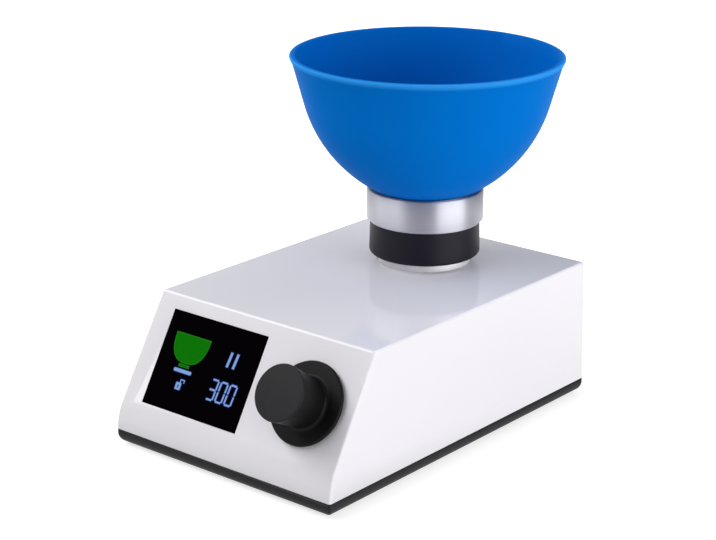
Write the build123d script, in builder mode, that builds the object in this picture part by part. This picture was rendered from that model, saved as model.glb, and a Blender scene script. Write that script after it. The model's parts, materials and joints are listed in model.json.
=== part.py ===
"""Bench mixer for dental impression paste: a drive unit with a turning bowl.

Millimetres, +Z up. The front with the display and the knob faces -Y. The origin lies on the
bench, below the centre of the whole machine, bowl and knob included.
"""

import os
from math import asin, cos, degrees, radians, sin, sqrt, tan

from build123d import *

os.makedirs("parts", exist_ok=True)

STAND = (Align.CENTER, Align.CENTER, Align.MIN)
HANG = (Align.CENTER, Align.CENTER, Align.MAX)
SIT = (Align.CENTER, Align.MIN)

# ------------------------------------------------------------------ driving dimensions, mm
# Casing: a moulded cover over a black base tray.
casing_width = 128.5
casing_depth = 192.5
cover_height = 59.8
cover_wall = 3.0
side_draft = 1.06  # lean-in of each side wall over the cover's height
rear_draft = 0.8
slope_lean = 30.6  # degrees that the sloping panel leans back
slope_bend_radius = 24.7
front_flat = 0.3  # upright strip of the front below the bend
cover_edge_radius = 1.2
slope_top_radius = 1.8
base_height = 6.8
base_floor = 4.2
base_round = 4.4
screw_pocket_depth = 4.15  # for the screw heads, from the base's underside
lip_height = 2.0
lip_thickness = 1.5
lip_gap = 0.25

# Feet.
foot_drop = 1.0  # base above the ground
foot_radius = 8.0
foot_recess = 3.2
foot_recess_gap = 0.2
foot_inset_x = 18.25
foot_inset_y = 22.0
foot_edge_radius = 0.8
foot_pillar_radius = 4.5
foot_pillar_height = 4.8
foot_screw_z = 2.0  # underside of the head, up inside the foot
foot_screw_head = 1.5
foot_screw_length = 7.0

# Screws: thread radius, head radius and head height by size, with the thread's clearance.
thread_gap = 0.05
shank_gap = 0.2
m3_radius = 1.5
m3_head_radius = 2.75
m3_head_height = 1.9
small_screw_radius = 1.0
small_screw_head_radius = 1.9
small_screw_head_height = 1.2
small_screw_length = 6.0
m4_radius = 2.0
m4_head_radius = 3.6
m4_head_height = 2.4
m5_radius = 2.5
m5_head_radius = 4.25
m5_head_height = 5.0
socket_share = 0.5  # recess in a screw's head, as a share of the head
screw_ring_count = 4
screw_ring_angle = 45

# Fastening of the cover to the base.
cover_boss_radius = 4.0
cover_boss_height = 14.0
cover_boss_inset_x = 6.75
cover_boss_inset_front = 28.0
cover_boss_inset_rear = 14.0
base_pillar_radius = 5.0
cover_screw_length = 12.0
cover_screw_head_gap = 0.25

# Display, in the slope's own frame: u to the right, v up the slope from its lower corner.
window_side_inset = 12.25  # edge of the display from the casing's side
window_v = 31.7
window_width = 57.6
window_height = 45.2
window_thickness = 2.0
window_gap = 0.1
window_ledge = 3.0
gasket_thickness = 1.0
gasket_rim = 2.2
module_extra_width = 0.4  # of the display module over its window
module_lost_height = 0.2
module_glass = 1.6
module_glass_inset = 2.4

# Control board behind the slope, and the rotary encoder on it.
board_thickness = 1.6
control_board_side_gap = 5.75
control_board_height = 46.0
control_board_v = 32.0
control_board_depth = 9.8  # board's front face behind the slope's outer face
control_boss_radius = 2.4
control_boss_inset = 2.5
control_boss_v = 18.0
encoder_width = 13.2
encoder_bush_radius = 4.5
encoder_bush_rise = 3.8
encoder_bush_gap = 0.2
encoder_shaft_radius = 3.0
encoder_shaft_gap = 0.06
encoder_flat = 1.5
encoder_rotor_radius = 4.6
encoder_rotor_thickness = 1.6
encoder_rotor_gap = 0.3
encoder_floor = 0.8
encoder_roof = 4.8  # height of the cavity in the encoder
encoder_rotor_play = 0.6
plunger_radius = 2.4
plunger_height = 1.2
plunger_gap = 0.05
encoder_washer_radius = 7.0
encoder_washer_thickness = 0.5
encoder_nut_across = 12.0
encoder_nut_height = 2.0

# Knob.
knob_side_inset = 25.25  # knob's axis from the casing's side
knob_v = 31.4
knob_face_height = 22.6
knob_face_radius = 12.9
knob_waist_radius = 11.0
knob_flange_radius = 19.0
knob_flange_thickness = 2.2
knob_flange_edge = 0.9
knob_foot_radius = 1.8
knob_face_edge = 0.8
knob_press = 0.5
knob_clearance = 0.4  # left under the flange when the knob is fully pressed
knob_recess_radius = 9.0
knob_recess_depth = 4.3
knob_roof = 4.0

# Spindle and its ball bearings.
spindle_to_rear = 46.05
shaft_radius = 5.0
shaft_shoulder_radius = 7.0
shaft_bottom = 31.0
shaft_in_hub = 11.0
shaft_chamfer = 0.6
bearing_radius = 13.0
bearing_width = 8.0
bearing_inner_radius = 7.3
bearing_outer_inner_radius = 10.9
bearing_ball_radius = 2.38
bearing_ball_count = 7
bearing_race_gap = 0.12
bearing_seat_gap = 0.02
bearing_shield_thickness = 0.5
bearing_shield_gap = 0.15
lower_bearing_bottom = 33.0
upper_bearing_recess = 1.4  # top of the bearing below the collar's top
shoulder_bore_radius = 10.2
clip_thickness = 1.0
clip_slack = 0.1
clip_depth = 0.7
clip_opening = 4.0
clip_width = 2.0

# Drive plate on four standoffs.
plate_bottom = 43.5
plate_thickness = 3.0
plate_side_gap = 5.25
plate_front_reach = 95.0
plate_rear_reach = 26.0
plate_corner = 6.0
plate_shaft_hole = 12.5
standoff_radius = 3.5
standoff_inset = 4.0
standoff_front_reach = 88.0
standoff_rear_reach = 6.0
standoff_pillar_height = 3.0
standoff_screw_length = 8.0

# Bearing housings.
lower_housing_radius = 16.0
lower_flange_radius = 23.0
lower_flange_thickness = 3.5
lower_housing_drop = 2.6
lower_screw_ring_radius = 19.5
lower_screw_length = 6.0
bridge_thickness = 3.6
bridge_roof_gap = 0.6
bridge_half_length = 18.0
bridge_belt_gap = 1.7
bridge_leg_thickness = 6.0
bridge_leg_half = 16.0
bridge_foot_reach = 8.5
bridge_foot_thickness = 4.0
bridge_screw_y = 10.0
bridge_screw_length = 6.0
collar_radius = 22.4
collar_rise = 3.4
collar_hole_gap = 0.3
collar_edge = 0.5
seal_thickness = 1.0
seal_lip_gap = 0.1

# Belt drive: ribbed belt between a motor pulley and the spindle pulley.
spindle_pulley_radius = 27.0
drive_ratio = 4.0
centre_distance = 62.2
pulley_bottom = 47.6
pulley_width = 12.0
pulley_rim = 5.0
pulley_web = 3.0
pulley_hub_radius = 8.0
pulley_hole_count = 5
pulley_hole_radius = 4.2
pulley_hole_ring_radius = 14.6
rib_count = 4
rib_pitch = 2.34
rib_depth = 1.6
rib_crest = 0.24
belt_gap = 0.5
belt_backing = 1.8
motor_flange_rise = 1.6
motor_flange_thickness = 0.8
motor_hub_height = 3.6
set_screw_radius = 1.5
set_screw_length = 3.6

# Motor.
motor_radius = 21.0
motor_bottom = 8.0
motor_wall = 1.5
motor_bell = 3.0
motor_boss_radius = 6.0
motor_boss_rise = 2.0
motor_boss_gap = 0.2
motor_shaft_radius = 2.5
motor_shaft_gap = 0.05
motor_bush_radius = 4.5
motor_bush_length = 4.0
motor_screw_ring_radius = 16.0
motor_screw_length = 5.0
motor_slot_length = 8.0
stator_bore = 10.6
stator_height = 22.0
stator_lift = 5.0
stator_slot_count = 9
stator_slot_width = 3.0
stator_slot_depth = 5.5
rotor_radius = 10.0
coil_overhang = 2.0
coil_inset = 1.2

# Hub, bowl holder and bowl.
hub_gap = 0.3
hub_bottom_radius = 26.8
hub_top_radius = 26.4
hub_height = 16.6
hub_edge = 2.0
hub_spigot_radius = 7.3
hub_web = 2.0
key_width = 3.0
key_depth = 1.5
key_length = 8.0
key_gap = 0.05
hub_washer_radius = 5.5
hub_washer_thickness = 1.0
hub_screw_length = 12.0
holder_wall = 3.05
holder_height = 15.6
holder_floor = 3.5
holder_hole_radius = 7.0
holder_bottom_edge = 1.1
holder_top_edge = 0.6
holder_screw_ring_radius = 15.5
holder_screw_count = 3
holder_screw_length = 9.0
dog_width = 6.0
dog_height = 3.0
dog_depth = 4.2
dog_gap = 0.3
grip_ring_radius = 1.2
grip_ring_height = 7.0
bowl_foot_radius = 24.7
bowl_foot_wall = 3.2
bowl_foot_gap = 0.3
bowl_underside = 0.4  # gap between the holder's top and the bowl's underside
bowl_foot_step = 0.9  # ledge around the foot, under the belly
bowl_floor_radius = 12.724  # flat floor inside the bowl
bowl_floor = 5.0
bowl_floor_round = 30.0
bowl_wall = 2.4
bowl_height = 64.8  # rim above the holder
bowl_rim_radius = 65.0
bowl_flare = 15.6  # degrees that the upper wall leans out
bowl_flare_depth = 23.3  # end of the straight upper wall below the rim
bowl_lip_reach = 1.45
bowl_lip_height = 4.2
bowl_lip_band = 1.2
bowl_lip_edge = 1.0

# Rear panel, in the rear wall's own frame: u to the left of the machine, v up from the seam.
rear_window_side = 10.25
rear_window_height = 34.0
rear_window_v = 25.0
rear_window_corner = 2.5
rear_panel_thickness = 1.5
rear_panel_margin = 5.2
rear_screw_length = 5.0
vent_count = 6
vent_pitch = 4.6
vent_width = 2.4
vent_length = 24.0
fittings_v = 23.0
inlet_side_gap = 2.0
inlet_flange_width = 46.0
inlet_flange_height = 23.0
inlet_flange_thickness = 2.5
inlet_flange_corner = 4.0
inlet_body_width = 27.4
inlet_body_height = 19.8
inlet_body_depth = 19.0
inlet_cavity_width = 24.0
inlet_cavity_height = 16.2
inlet_cavity_depth = 17.0
inlet_cavity_corner = 4.4
inlet_fit = 0.1
inlet_pin_width = 4.0
inlet_pin_thickness = 2.0
inlet_pin_length = 14.5
inlet_pin_spacing = 7.0
inlet_pin_offset = 2.0
inlet_tab_length = 7.0
inlet_screw_u = 19.4
switch_side_gap = 6.5
switch_flange_width = 15.0
switch_flange_height = 21.0
switch_flange_thickness = 2.0
switch_body_width = 13.0
switch_body_height = 19.0
switch_body_depth = 15.0
switch_wall = 1.4
switch_well_depth = 11.0
rocker_gap = 0.3
rocker_end_gap = 1.2
rocker_throw = 10.0
rocker_rise = 3.0  # middle of the rocker's face above its pivot
rocker_pivot_depth = 3.0
rocker_pin_radius = 1.2
rocker_pin_length = 0.8
rocker_pin_gap = 0.06
rocker_depth = 3.2
rocker_belly = 2.0

# Power supply board on the left and motor board on the right, on posts of the base.
board_length = 76.0
board_side_gap = 6.25
board_motor_gap = 5.0
board_reach = 42.2  # board's centre in front of the spindle
board_corner = 1.5
board_post_height = 4.3
board_post_radius = 3.0
board_post_inset = 3.6
board_screw_length = 5.0
transformer_width = 24.0
transformer_length = 28.0
transformer_height = 23.0
transformer_core = 7.0
transformer_y = -14.0
coil_corner = 5.0
capacitor_radius = 6.5
capacitor_height = 20.0
capacitor_edge = 1.0
capacitor_pitch = 15.0
capacitor_y = 18.0
heatsink_width = 14.0
heatsink_length = 40.0
heatsink_height = 20.0
heatsink_base = 3.0
heatsink_fin_count = 5
heatsink_fin_pitch = 3.1
heatsink_fin = 1.4
heatsink_back = 11.0
connector_width = 8.0
connector_length = 12.0
connector_height = 9.0
connector_y = 31.0

# Leads inside the casing.
lead_radius = 1.1
lead_bend = 3.5
lead_drop = 9.0  # straight run in front of the inlet's tabs
lead_gap = 0.1
motor_lead_height = 7.0
motor_lead_spread = 4.0
motor_lead_gap = 6.25  # middle of the two runs beside the motor, from the terminal block
motor_lead_pitch = 1.75
motor_lead_end = 2.0

# ------------------------------------------------------------------ places that follow
seam_z = foot_drop + base_height
roof_z = seam_z + cover_height
roof_inside_z = roof_z - cover_wall
floor_z = foot_drop + base_floor

slope_start = front_flat + slope_bend_radius * tan(radians(slope_lean / 2))
slope_rise = cover_height - slope_start
slope_setback = slope_rise * tan(radians(slope_lean))
slope_length = sqrt(slope_setback**2 + slope_rise**2)
slope_y = slope_setback / slope_length
slope_z = slope_rise / slope_length

window_u = window_width / 2 + window_side_inset - casing_width / 2
module_width = window_width + module_extra_width
module_height = window_height - module_lost_height
knob_u = casing_width / 2 - knob_side_inset
control_board_width = casing_width - 2 * control_board_side_gap
control_boss_u = control_board_width / 2 - control_boss_inset
plate_width = casing_width - 2 * plate_side_gap
standoff_x = plate_width / 2 - standoff_inset
board_width = casing_width / 2 - board_side_gap - motor_radius - board_motor_gap
rear_window_width = casing_width - 2 * rear_window_side
inlet_u = rear_window_width / 2 - inlet_side_gap - inlet_flange_width / 2
switch_u = switch_side_gap + switch_flange_width / 2 - rear_window_width / 2
vent_u = (inlet_u - inlet_flange_width / 2 + switch_u + switch_flange_width / 2) / 2
holder_bore = bowl_foot_radius + bowl_foot_gap
holder_radius = holder_bore + holder_wall

knob_reach = knob_face_height * slope_z - (knob_v - knob_face_radius) * slope_y
bowl_reach = bowl_rim_radius - spindle_to_rear
casing_y = (knob_reach - bowl_reach) / 2
front_y = casing_y - casing_depth / 2
rear_y = casing_y + casing_depth / 2
spindle_y = rear_y - spindle_to_rear
motor_y = spindle_y - centre_distance

slope = Plane(
    origin=(0, front_y, seam_z + slope_start), x_dir=(1, 0, 0), z_dir=(0, -slope_z, slope_y)
)
rear = Plane(
    origin=(0, rear_y, seam_z), x_dir=(-1, 0, 0), z_dir=(0, cover_height, rear_draft)
)
spindle_axis = Axis((0, spindle_y, 0), (0, 0, 1))
spindle_section = Plane(origin=(0, spindle_y, 0), x_dir=(1, 0, 0), z_dir=(0, -1, 0))
motor_axis = Axis((0, motor_y, 0), (0, 0, 1))
motor_section = Plane(origin=(0, motor_y, 0), x_dir=(1, 0, 0), z_dir=(0, -1, 0))

plate_top = plate_bottom + plate_thickness
bridge_top = roof_inside_z - bridge_roof_gap
bridge_bottom = bridge_top - bridge_thickness
collar_top = roof_z + collar_rise
hub_bottom = collar_top + hub_gap
hub_top = hub_bottom + hub_height
holder_top = hub_top + holder_height
holder_inside = hub_top + holder_floor
lower_bearing_top = lower_bearing_bottom + bearing_width
upper_bearing_top = collar_top - upper_bearing_recess
upper_bearing_bottom = upper_bearing_top - bearing_width
shaft_top = hub_bottom + shaft_in_hub
bowl_rim_z = holder_top + bowl_height
pulley_top = pulley_bottom + pulley_width
belt_z = pulley_bottom + pulley_width / 2
motor_pulley_radius = spindle_pulley_radius / drive_ratio

cover_bosses = [
    (side * (casing_width / 2 - cover_boss_inset_x), y)
    for side in (-1, 1)
    for y in (front_y + cover_boss_inset_front, rear_y - cover_boss_inset_rear)
]
feet = [
    (side * (casing_width / 2 - foot_inset_x), y)
    for side in (-1, 1)
    for y in (front_y + foot_inset_y, rear_y - foot_inset_y)
]
standoffs = [
    (side * standoff_x, y)
    for side in (-1, 1)
    for y in (spindle_y - standoff_front_reach, spindle_y + standoff_rear_reach)
]
control_bosses = [
    (side_u * control_boss_u, control_board_v + side_v * control_boss_v)
    for side_u in (-1, 1)
    for side_v in (-1, 1)
]
board_y = spindle_y - board_reach
board_x = casing_width / 2 - board_side_gap - board_width / 2
board_z = floor_z + board_post_height
board_top = board_z + board_thickness
board_posts = [
    (
        side * board_x + side_x * (board_width / 2 - board_post_inset),
        board_y + side_y * (board_length / 2 - board_post_inset),
    )
    for side in (-1, 1)
    for side_x in (-1, 1)
    for side_y in (-1, 1)
]
rear_screw_u = (rear_window_width + rear_panel_margin) / 2
rear_screw_v = (rear_window_height + rear_panel_margin) / 2
rear_screws_uv = [
    (side_u * rear_screw_u, rear_window_v + side_v * rear_screw_v)
    for side_u in (-1, 1)
    for side_v in (-1, 1)
]

belt_radius = spindle_pulley_radius + belt_gap + belt_backing
bridge_leg_inner = belt_radius + bridge_belt_gap
bridge_foot_x = bridge_leg_inner + bridge_leg_thickness + bridge_foot_reach / 2
bridge_screw_places = [
    (side * bridge_foot_x, spindle_y + y)
    for side in (-1, 1)
    for y in (-bridge_screw_y, bridge_screw_y)
]
bearing_seat = bearing_radius + bearing_seat_gap
bearing_bottoms = (lower_bearing_bottom, upper_bearing_bottom)
ball_circle = (bearing_inner_radius + bearing_outer_inner_radius) / 2
lower_housing_bottom = lower_bearing_bottom - lower_housing_drop
hub_key_z = hub_bottom + key_length / 2
key_places = [(shaft_radius, spindle_y, z) for z in (belt_z, hub_key_z)]
motor_pulley_top = pulley_top + motor_hub_height
set_screw_plane = Plane(
    origin=(0, motor_y, pulley_top + motor_hub_height / 2), x_dir=(1, 0, 0), z_dir=(0, -1, 0)
)
bell_bottom = plate_bottom - motor_bell
motor_lead_z = motor_bottom + motor_lead_height
motor_lead_starts = (motor_y - motor_lead_spread, motor_y + motor_lead_spread)
stator_bottom = motor_bottom + stator_lift
stator_top = stator_bottom + stator_height
washer_top = shaft_top + hub_web + hub_washer_thickness
dog_circle = holder_bore - dog_depth / 2
dog_angle = 180 / holder_screw_count

foot_top = foot_drop + foot_recess
foot_pillar_top = floor_z + foot_pillar_height
pocket_z = foot_drop + screw_pocket_depth
standoff_bottom = floor_z + standoff_pillar_height

knob_centre = (knob_u, knob_v)
knob_bottom = knob_press + knob_clearance
knob_flange_top = knob_bottom + knob_flange_thickness
knob_bore_bottom = knob_bottom + knob_recess_depth
knob_origin = slope.from_local_coords((knob_u, knob_v, 0))
knob_section = Plane(origin=knob_origin, x_dir=(1, 0, 0), z_dir=-slope.y_dir)
knob_axis = Axis(knob_origin, slope.z_dir)
rotor_roof = encoder_roof - control_board_depth + encoder_floor
rotor_bottom = rotor_roof - encoder_rotor_play - encoder_rotor_thickness
plunger_top = rotor_bottom - plunger_gap
shaft_end = knob_face_height - knob_roof - encoder_shaft_gap
shaft_flat_v = knob_v + encoder_shaft_radius - encoder_flat


def slope_place(u, v, h, flip=False):
    """Place on the slope, at a height above its face; flipped, it points inward."""
    return slope.location * Location((u, v, h), (180 if flip else 0, 0, 0))


def rear_place(u, v, h):
    """Place on the rear wall, at a height above its outer face."""
    return rear.location * Location((u, v, h))


def upward(x, y, z):
    """Place of something that is turned over, such as a screw put in from below."""
    return Location((x, y, z), (180, 0, 0))


def side_at(z):
    """Half width of the cover's outside at a height."""
    return casing_width / 2 - side_draft * (z - seam_z) / cover_height


def rear_at(z):
    """Rear face of the cover's outside at a height."""
    return rear_y - rear_draft * (z - seam_z) / cover_height


def upright(radius, low, high, mode=Mode.ADD):
    """Cylinder between two heights, at the current places."""
    with Locations((0, 0, low)):
        Cylinder(radius, high - low, align=STAND, mode=mode)


def screw_pocket(high):
    """Counterbored screw hole through the base, from below up to a height."""
    upright(m3_radius + shank_gap, foot_drop, high, mode=Mode.SUBTRACT)
    upright(m3_head_radius + cover_screw_head_gap, foot_drop, pocket_z, mode=Mode.SUBTRACT)


def key_seat():
    """Cut round a key, half in the shaft and half in what it drives, at the current places."""
    Box(
        2 * (key_depth + key_gap),
        key_width + 2 * key_gap,
        key_length + 2 * key_gap,
        mode=Mode.SUBTRACT,
    )


def finish(part, name):
    """Label a finished piece and write it."""
    part.label = name
    export_step(part, "parts/" + name + ".step")


def casing_block(inset, low):
    """Solid of the casing's side outline down to a height, drawn in by an even inset."""
    with BuildPart() as block:
        with BuildSketch(Plane.YZ) as outline:
            with BuildLine():
                Polyline(
                    (front_y, low),
                    (front_y, seam_z + slope_start),
                    (front_y + slope_setback, roof_z),
                    (rear_at(roof_z), roof_z),
                    (rear_at(low), low),
                    close=True,
                )
            make_face()
            bend = outline.vertices().group_by(Axis.X)[0].sort_by(Axis.Y)[-1]
            fillet(bend, slope_bend_radius)
            if inset:
                offset(amount=-inset, kind=Kind.INTERSECTION, mode=Mode.REPLACE)
        extrude(amount=casing_width, both=True)
        with BuildSketch(Plane.XY.offset(low)):
            Rectangle(2 * (side_at(low) - inset), 2 * casing_depth)
        with BuildSketch(Plane.XY.offset(roof_z)):
            Rectangle(2 * (side_at(roof_z) - inset), 2 * casing_depth)
        loft(mode=Mode.INTERSECT)
    return block.part


def pan_screw(radius, length, head_radius, head_height):
    """Screw with its head's underside at the origin and its thread pointing down."""
    with BuildPart() as screw:
        Cylinder(radius, length, align=HANG)
        Cylinder(head_radius, head_height, align=STAND)
        fillet(screw.edges().sort_by(Axis.Z)[-1], head_height * socket_share / 2)
        with BuildSketch(Plane.XY.offset(head_height)):
            RegularPolygon(head_radius * socket_share, 6)
        extrude(amount=-head_height * socket_share, mode=Mode.SUBTRACT)
    return screw.part


def sunk_screw(radius, length, head_radius):
    """Countersunk screw with its head's flat top at the origin, pointing down."""
    with BuildPart() as screw:
        Cylinder(radius, length, align=HANG)
        with Locations((0, 0, 0)):
            Cone(radius, head_radius, head_radius - radius, align=HANG)
        with BuildSketch():
            RegularPolygon(head_radius * socket_share, 6)
        extrude(amount=-(head_radius - radius) * socket_share, mode=Mode.SUBTRACT)
    return screw.part


# ------------------------------------------------------------------ casing
window_centre = (window_u, window_v)
control_boss_length = control_board_depth - cover_wall
encoder_bore = encoder_bush_radius + encoder_bush_gap

with BuildPart() as top_cover:
    add(casing_block(0, seam_z))
    roof_edges = top_cover.edges().filter_by(Axis.X).group_by(Axis.Z)[-1].sort_by(Axis.Y)
    fillet(roof_edges[0], slope_top_radius)
    roof_edges = top_cover.edges().filter_by(Axis.X).group_by(Axis.Z)[-1].sort_by(Axis.Y)
    fillet(roof_edges[-1], cover_edge_radius)
    flanks = top_cover.faces().sort_by(Axis.X)
    outline_edges = flanks[0].edges() + flanks[-1].edges()
    fillet([e for e in outline_edges if e.center().Z > seam_z + lip_gap], cover_edge_radius)
    add(casing_block(cover_wall, seam_z - 2 * cover_wall), mode=Mode.SUBTRACT)
    # bosses for the screws from below
    with Locations(*cover_bosses):
        upright(cover_boss_radius, seam_z, seam_z + cover_boss_height)
        upright(m3_radius + thread_gap, seam_z, seam_z + cover_screw_length, mode=Mode.SUBTRACT)
    # bosses behind the slope for the control board
    with BuildSketch(slope.offset(-cover_wall / 2)):
        with Locations(*control_bosses):
            Circle(control_boss_radius)
    extrude(amount=cover_wall / 2 - control_board_depth)
    with BuildSketch(slope.offset(-control_board_depth)):
        with Locations(*control_bosses):
            Circle(small_screw_radius + thread_gap)
    extrude(amount=control_boss_length - thread_gap, mode=Mode.SUBTRACT)
    # recess and opening of the display
    with BuildSketch(slope):
        with Locations(window_centre):
            Rectangle(window_width + 2 * window_gap, window_height + 2 * window_gap)
    extrude(amount=-window_thickness, mode=Mode.SUBTRACT)
    with BuildSketch(slope):
        with Locations(window_centre):
            Rectangle(window_width - 2 * window_ledge, window_height - 2 * window_ledge)
    extrude(amount=-cover_wall - window_gap, mode=Mode.SUBTRACT)
    # hole of the knob's encoder
    with BuildSketch(slope):
        with Locations((knob_u, knob_v)):
            Circle(encoder_bore)
    extrude(amount=-cover_wall - window_gap, mode=Mode.SUBTRACT)
    # hole of the bearing collar
    with Locations((0, spindle_y)):
        upright(collar_radius + collar_hole_gap, roof_inside_z, roof_z, mode=Mode.SUBTRACT)
    # window of the rear panel and its screw holes
    with BuildSketch(rear):
        with Locations((0, rear_window_v)):
            RectangleRounded(rear_window_width, rear_window_height, rear_window_corner)
    extrude(amount=-2 * cover_wall, mode=Mode.SUBTRACT)
    with BuildSketch(rear):
        with Locations(*rear_screws_uv):
            Circle(m3_radius + shank_gap)
    extrude(amount=-2 * cover_wall, mode=Mode.SUBTRACT)
finish(top_cover.part, "top_cover")

with BuildPart() as base_tray:
    with BuildSketch(Plane.XY.offset(foot_drop)):
        with Locations((0, casing_y)):
            Rectangle(casing_width, casing_depth)
    extrude(amount=base_height)
    fillet(base_tray.edges().filter_by(Axis.Z), cover_edge_radius)
    fillet(base_tray.edges().group_by(Axis.Z)[0], base_round)
    pocket_inset = cover_wall + lip_gap + lip_thickness
    with BuildSketch(Plane.XY.offset(floor_z)):
        with Locations((0, casing_y)):
            Rectangle(casing_width - 2 * pocket_inset, casing_depth - 2 * pocket_inset)
    extrude(amount=base_height, mode=Mode.SUBTRACT)
    with BuildSketch(Plane.XY.offset(seam_z)):
        with Locations((0, casing_y)):
            lip_inset = cover_wall + lip_gap
            Rectangle(casing_width - 2 * lip_inset, casing_depth - 2 * lip_inset)
            Rectangle(
                casing_width - 2 * pocket_inset, casing_depth - 2 * pocket_inset, mode=Mode.SUBTRACT
            )
    extrude(amount=lip_height)
    with Locations(*cover_bosses):
        upright(base_pillar_radius, floor_z, seam_z)
        upright(cover_boss_radius + lip_gap, seam_z, seam_z + lip_height, mode=Mode.SUBTRACT)
        screw_pocket(seam_z)
    with Locations(*standoffs):
        upright(base_pillar_radius, floor_z, standoff_bottom)
        screw_pocket(standoff_bottom)
    with Locations(*feet):
        upright(foot_pillar_radius, floor_z, foot_pillar_top)
        upright(foot_radius + foot_recess_gap, foot_drop, foot_top, mode=Mode.SUBTRACT)
        upright(m3_radius + thread_gap, foot_top, foot_pillar_top, mode=Mode.SUBTRACT)
    with Locations(*board_posts):
        upright(board_post_radius, floor_z, board_z)
        upright(m3_radius + thread_gap, floor_z, board_z, mode=Mode.SUBTRACT)
    with BuildSketch(Plane.XY.offset(foot_drop)):
        with Locations((0, spindle_y)):
            with GridLocations(vent_pitch, 0, vent_count, 1):
                SlotOverall(vent_length, vent_width, rotation=90)
    extrude(amount=base_floor, mode=Mode.SUBTRACT)
finish(base_tray.part, "base_tray")

with BuildPart() as rubber_feet:
    with Locations(*feet):
        upright(foot_radius, 0, foot_top)
    fillet(rubber_feet.edges().group_by(Axis.Z)[0], foot_edge_radius)
    with Locations(*feet):
        upright(m3_radius + shank_gap, 0, foot_top, mode=Mode.SUBTRACT)
        upright(m3_head_radius + shank_gap, 0, foot_screw_z, mode=Mode.SUBTRACT)
finish(rubber_feet.part, "rubber_feet")

with BuildPart() as foot_screws:
    with Locations(*[upward(x, y, foot_screw_z) for x, y in feet]):
        add(pan_screw(m3_radius, foot_screw_length, m3_head_radius, foot_screw_head))
finish(foot_screws.part, "foot_screws")

with BuildPart() as cover_screws:
    with Locations(*[upward(x, y, pocket_z) for x, y in cover_bosses]):
        add(pan_screw(m3_radius, cover_screw_length, m3_head_radius, m3_head_height))
finish(cover_screws.part, "cover_screws")

# ------------------------------------------------------------------ display and control board
with BuildPart() as display_window:
    with BuildSketch(slope):
        with Locations(window_centre):
            Rectangle(window_width, window_height)
    extrude(amount=-window_thickness)
finish(display_window.part, "display_window")

opening_width = window_width - 2 * window_ledge
opening_height = window_height - 2 * window_ledge
module_front = cover_wall + gasket_thickness
with BuildPart() as display_gasket:
    with BuildSketch(slope.offset(-cover_wall)):
        with Locations(window_centre):
            Rectangle(opening_width + 2 * gasket_rim, opening_height + 2 * gasket_rim)
            Rectangle(opening_width, opening_height, mode=Mode.SUBTRACT)
    extrude(amount=-gasket_thickness)
finish(display_gasket.part, "display_gasket")

glass_width = module_width - 2 * module_glass_inset
glass_height = module_height - 2 * module_glass_inset
with BuildPart() as display_module:
    with BuildSketch(slope.offset(-module_front)):
        with Locations(window_centre):
            Rectangle(module_width, module_height)
    extrude(amount=module_front - control_board_depth)
    with BuildSketch(slope.offset(-module_front)):
        with Locations(window_centre):
            Rectangle(glass_width, glass_height)
    extrude(amount=-module_glass, mode=Mode.SUBTRACT)
finish(display_module.part, "display_module")

control_board_back = control_board_depth + board_thickness
with BuildPart() as control_board:
    with BuildSketch(slope.offset(-control_board_depth)):
        with Locations((0, control_board_v)):
            RectangleRounded(control_board_width, control_board_height, board_corner)
        with Locations(*control_bosses):
            Circle(small_screw_radius + shank_gap, mode=Mode.SUBTRACT)
    extrude(amount=-board_thickness)
finish(control_board.part, "control_board")

with BuildPart() as control_board_screws:
    with Locations(*[slope_place(u, v, -control_board_back, flip=True) for u, v in control_bosses]):
        add(
            pan_screw(
                small_screw_radius, small_screw_length, small_screw_head_radius, small_screw_head_height
            )
        )
finish(control_board_screws.part, "control_board_screws")

# ------------------------------------------------------------------ rotary encoder and knob
with BuildPart() as encoder_body:
    with BuildSketch(slope.offset(-control_board_depth)):
        with Locations(knob_centre):
            Rectangle(encoder_width, encoder_width)
    extrude(amount=control_boss_length)
    with BuildSketch(slope.offset(-cover_wall)):
        with Locations(knob_centre):
            Circle(encoder_bush_radius)
    extrude(amount=cover_wall + encoder_bush_rise)
    with BuildSketch(slope.offset(rotor_roof)):
        with Locations(knob_centre):
            Circle(encoder_rotor_radius + encoder_rotor_gap)
    extrude(amount=encoder_floor - control_board_depth - rotor_roof, mode=Mode.SUBTRACT)
    with BuildSketch(slope.offset(rotor_roof)):
        with Locations(knob_centre):
            Circle(encoder_shaft_radius + encoder_shaft_gap)
    extrude(amount=encoder_bush_rise - rotor_roof, mode=Mode.SUBTRACT)
finish(encoder_body.part, "encoder_body")

with BuildPart() as encoder_plunger:
    with BuildSketch(slope.offset(plunger_top)):
        with Locations(knob_centre):
            Circle(plunger_radius)
    extrude(amount=-plunger_height)
finish(encoder_plunger.part, "encoder_plunger")

with BuildPart() as encoder_nut:
    with BuildSketch(slope):
        with Locations(knob_centre):
            Circle(encoder_washer_radius)
            Circle(encoder_bore, mode=Mode.SUBTRACT)
    extrude(amount=encoder_washer_thickness)
    with BuildSketch(slope.offset(encoder_washer_thickness)):
        with Locations(knob_centre):
            RegularPolygon(encoder_nut_across / 2, 6, major_radius=False)
            Circle(encoder_bush_radius + thread_gap, mode=Mode.SUBTRACT)
    extrude(amount=encoder_nut_height)
finish(encoder_nut.part, "encoder_nut")

with BuildPart() as encoder_shaft:
    with BuildSketch(slope.offset(rotor_bottom)):
        with Locations(knob_centre):
            Circle(encoder_rotor_radius)
    extrude(amount=encoder_rotor_thickness)
    with BuildSketch(slope.offset(rotor_bottom)):
        with Locations(knob_centre):
            Circle(encoder_shaft_radius)
    extrude(amount=shaft_end - rotor_bottom)
    with BuildSketch(slope.offset(knob_bore_bottom)):
        with Locations((knob_u, shaft_flat_v)):
            Rectangle(2 * encoder_shaft_radius, encoder_shaft_radius, align=SIT)
    extrude(amount=shaft_end - knob_bore_bottom, mode=Mode.SUBTRACT)
finish(encoder_shaft.part, "encoder_shaft")

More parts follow.
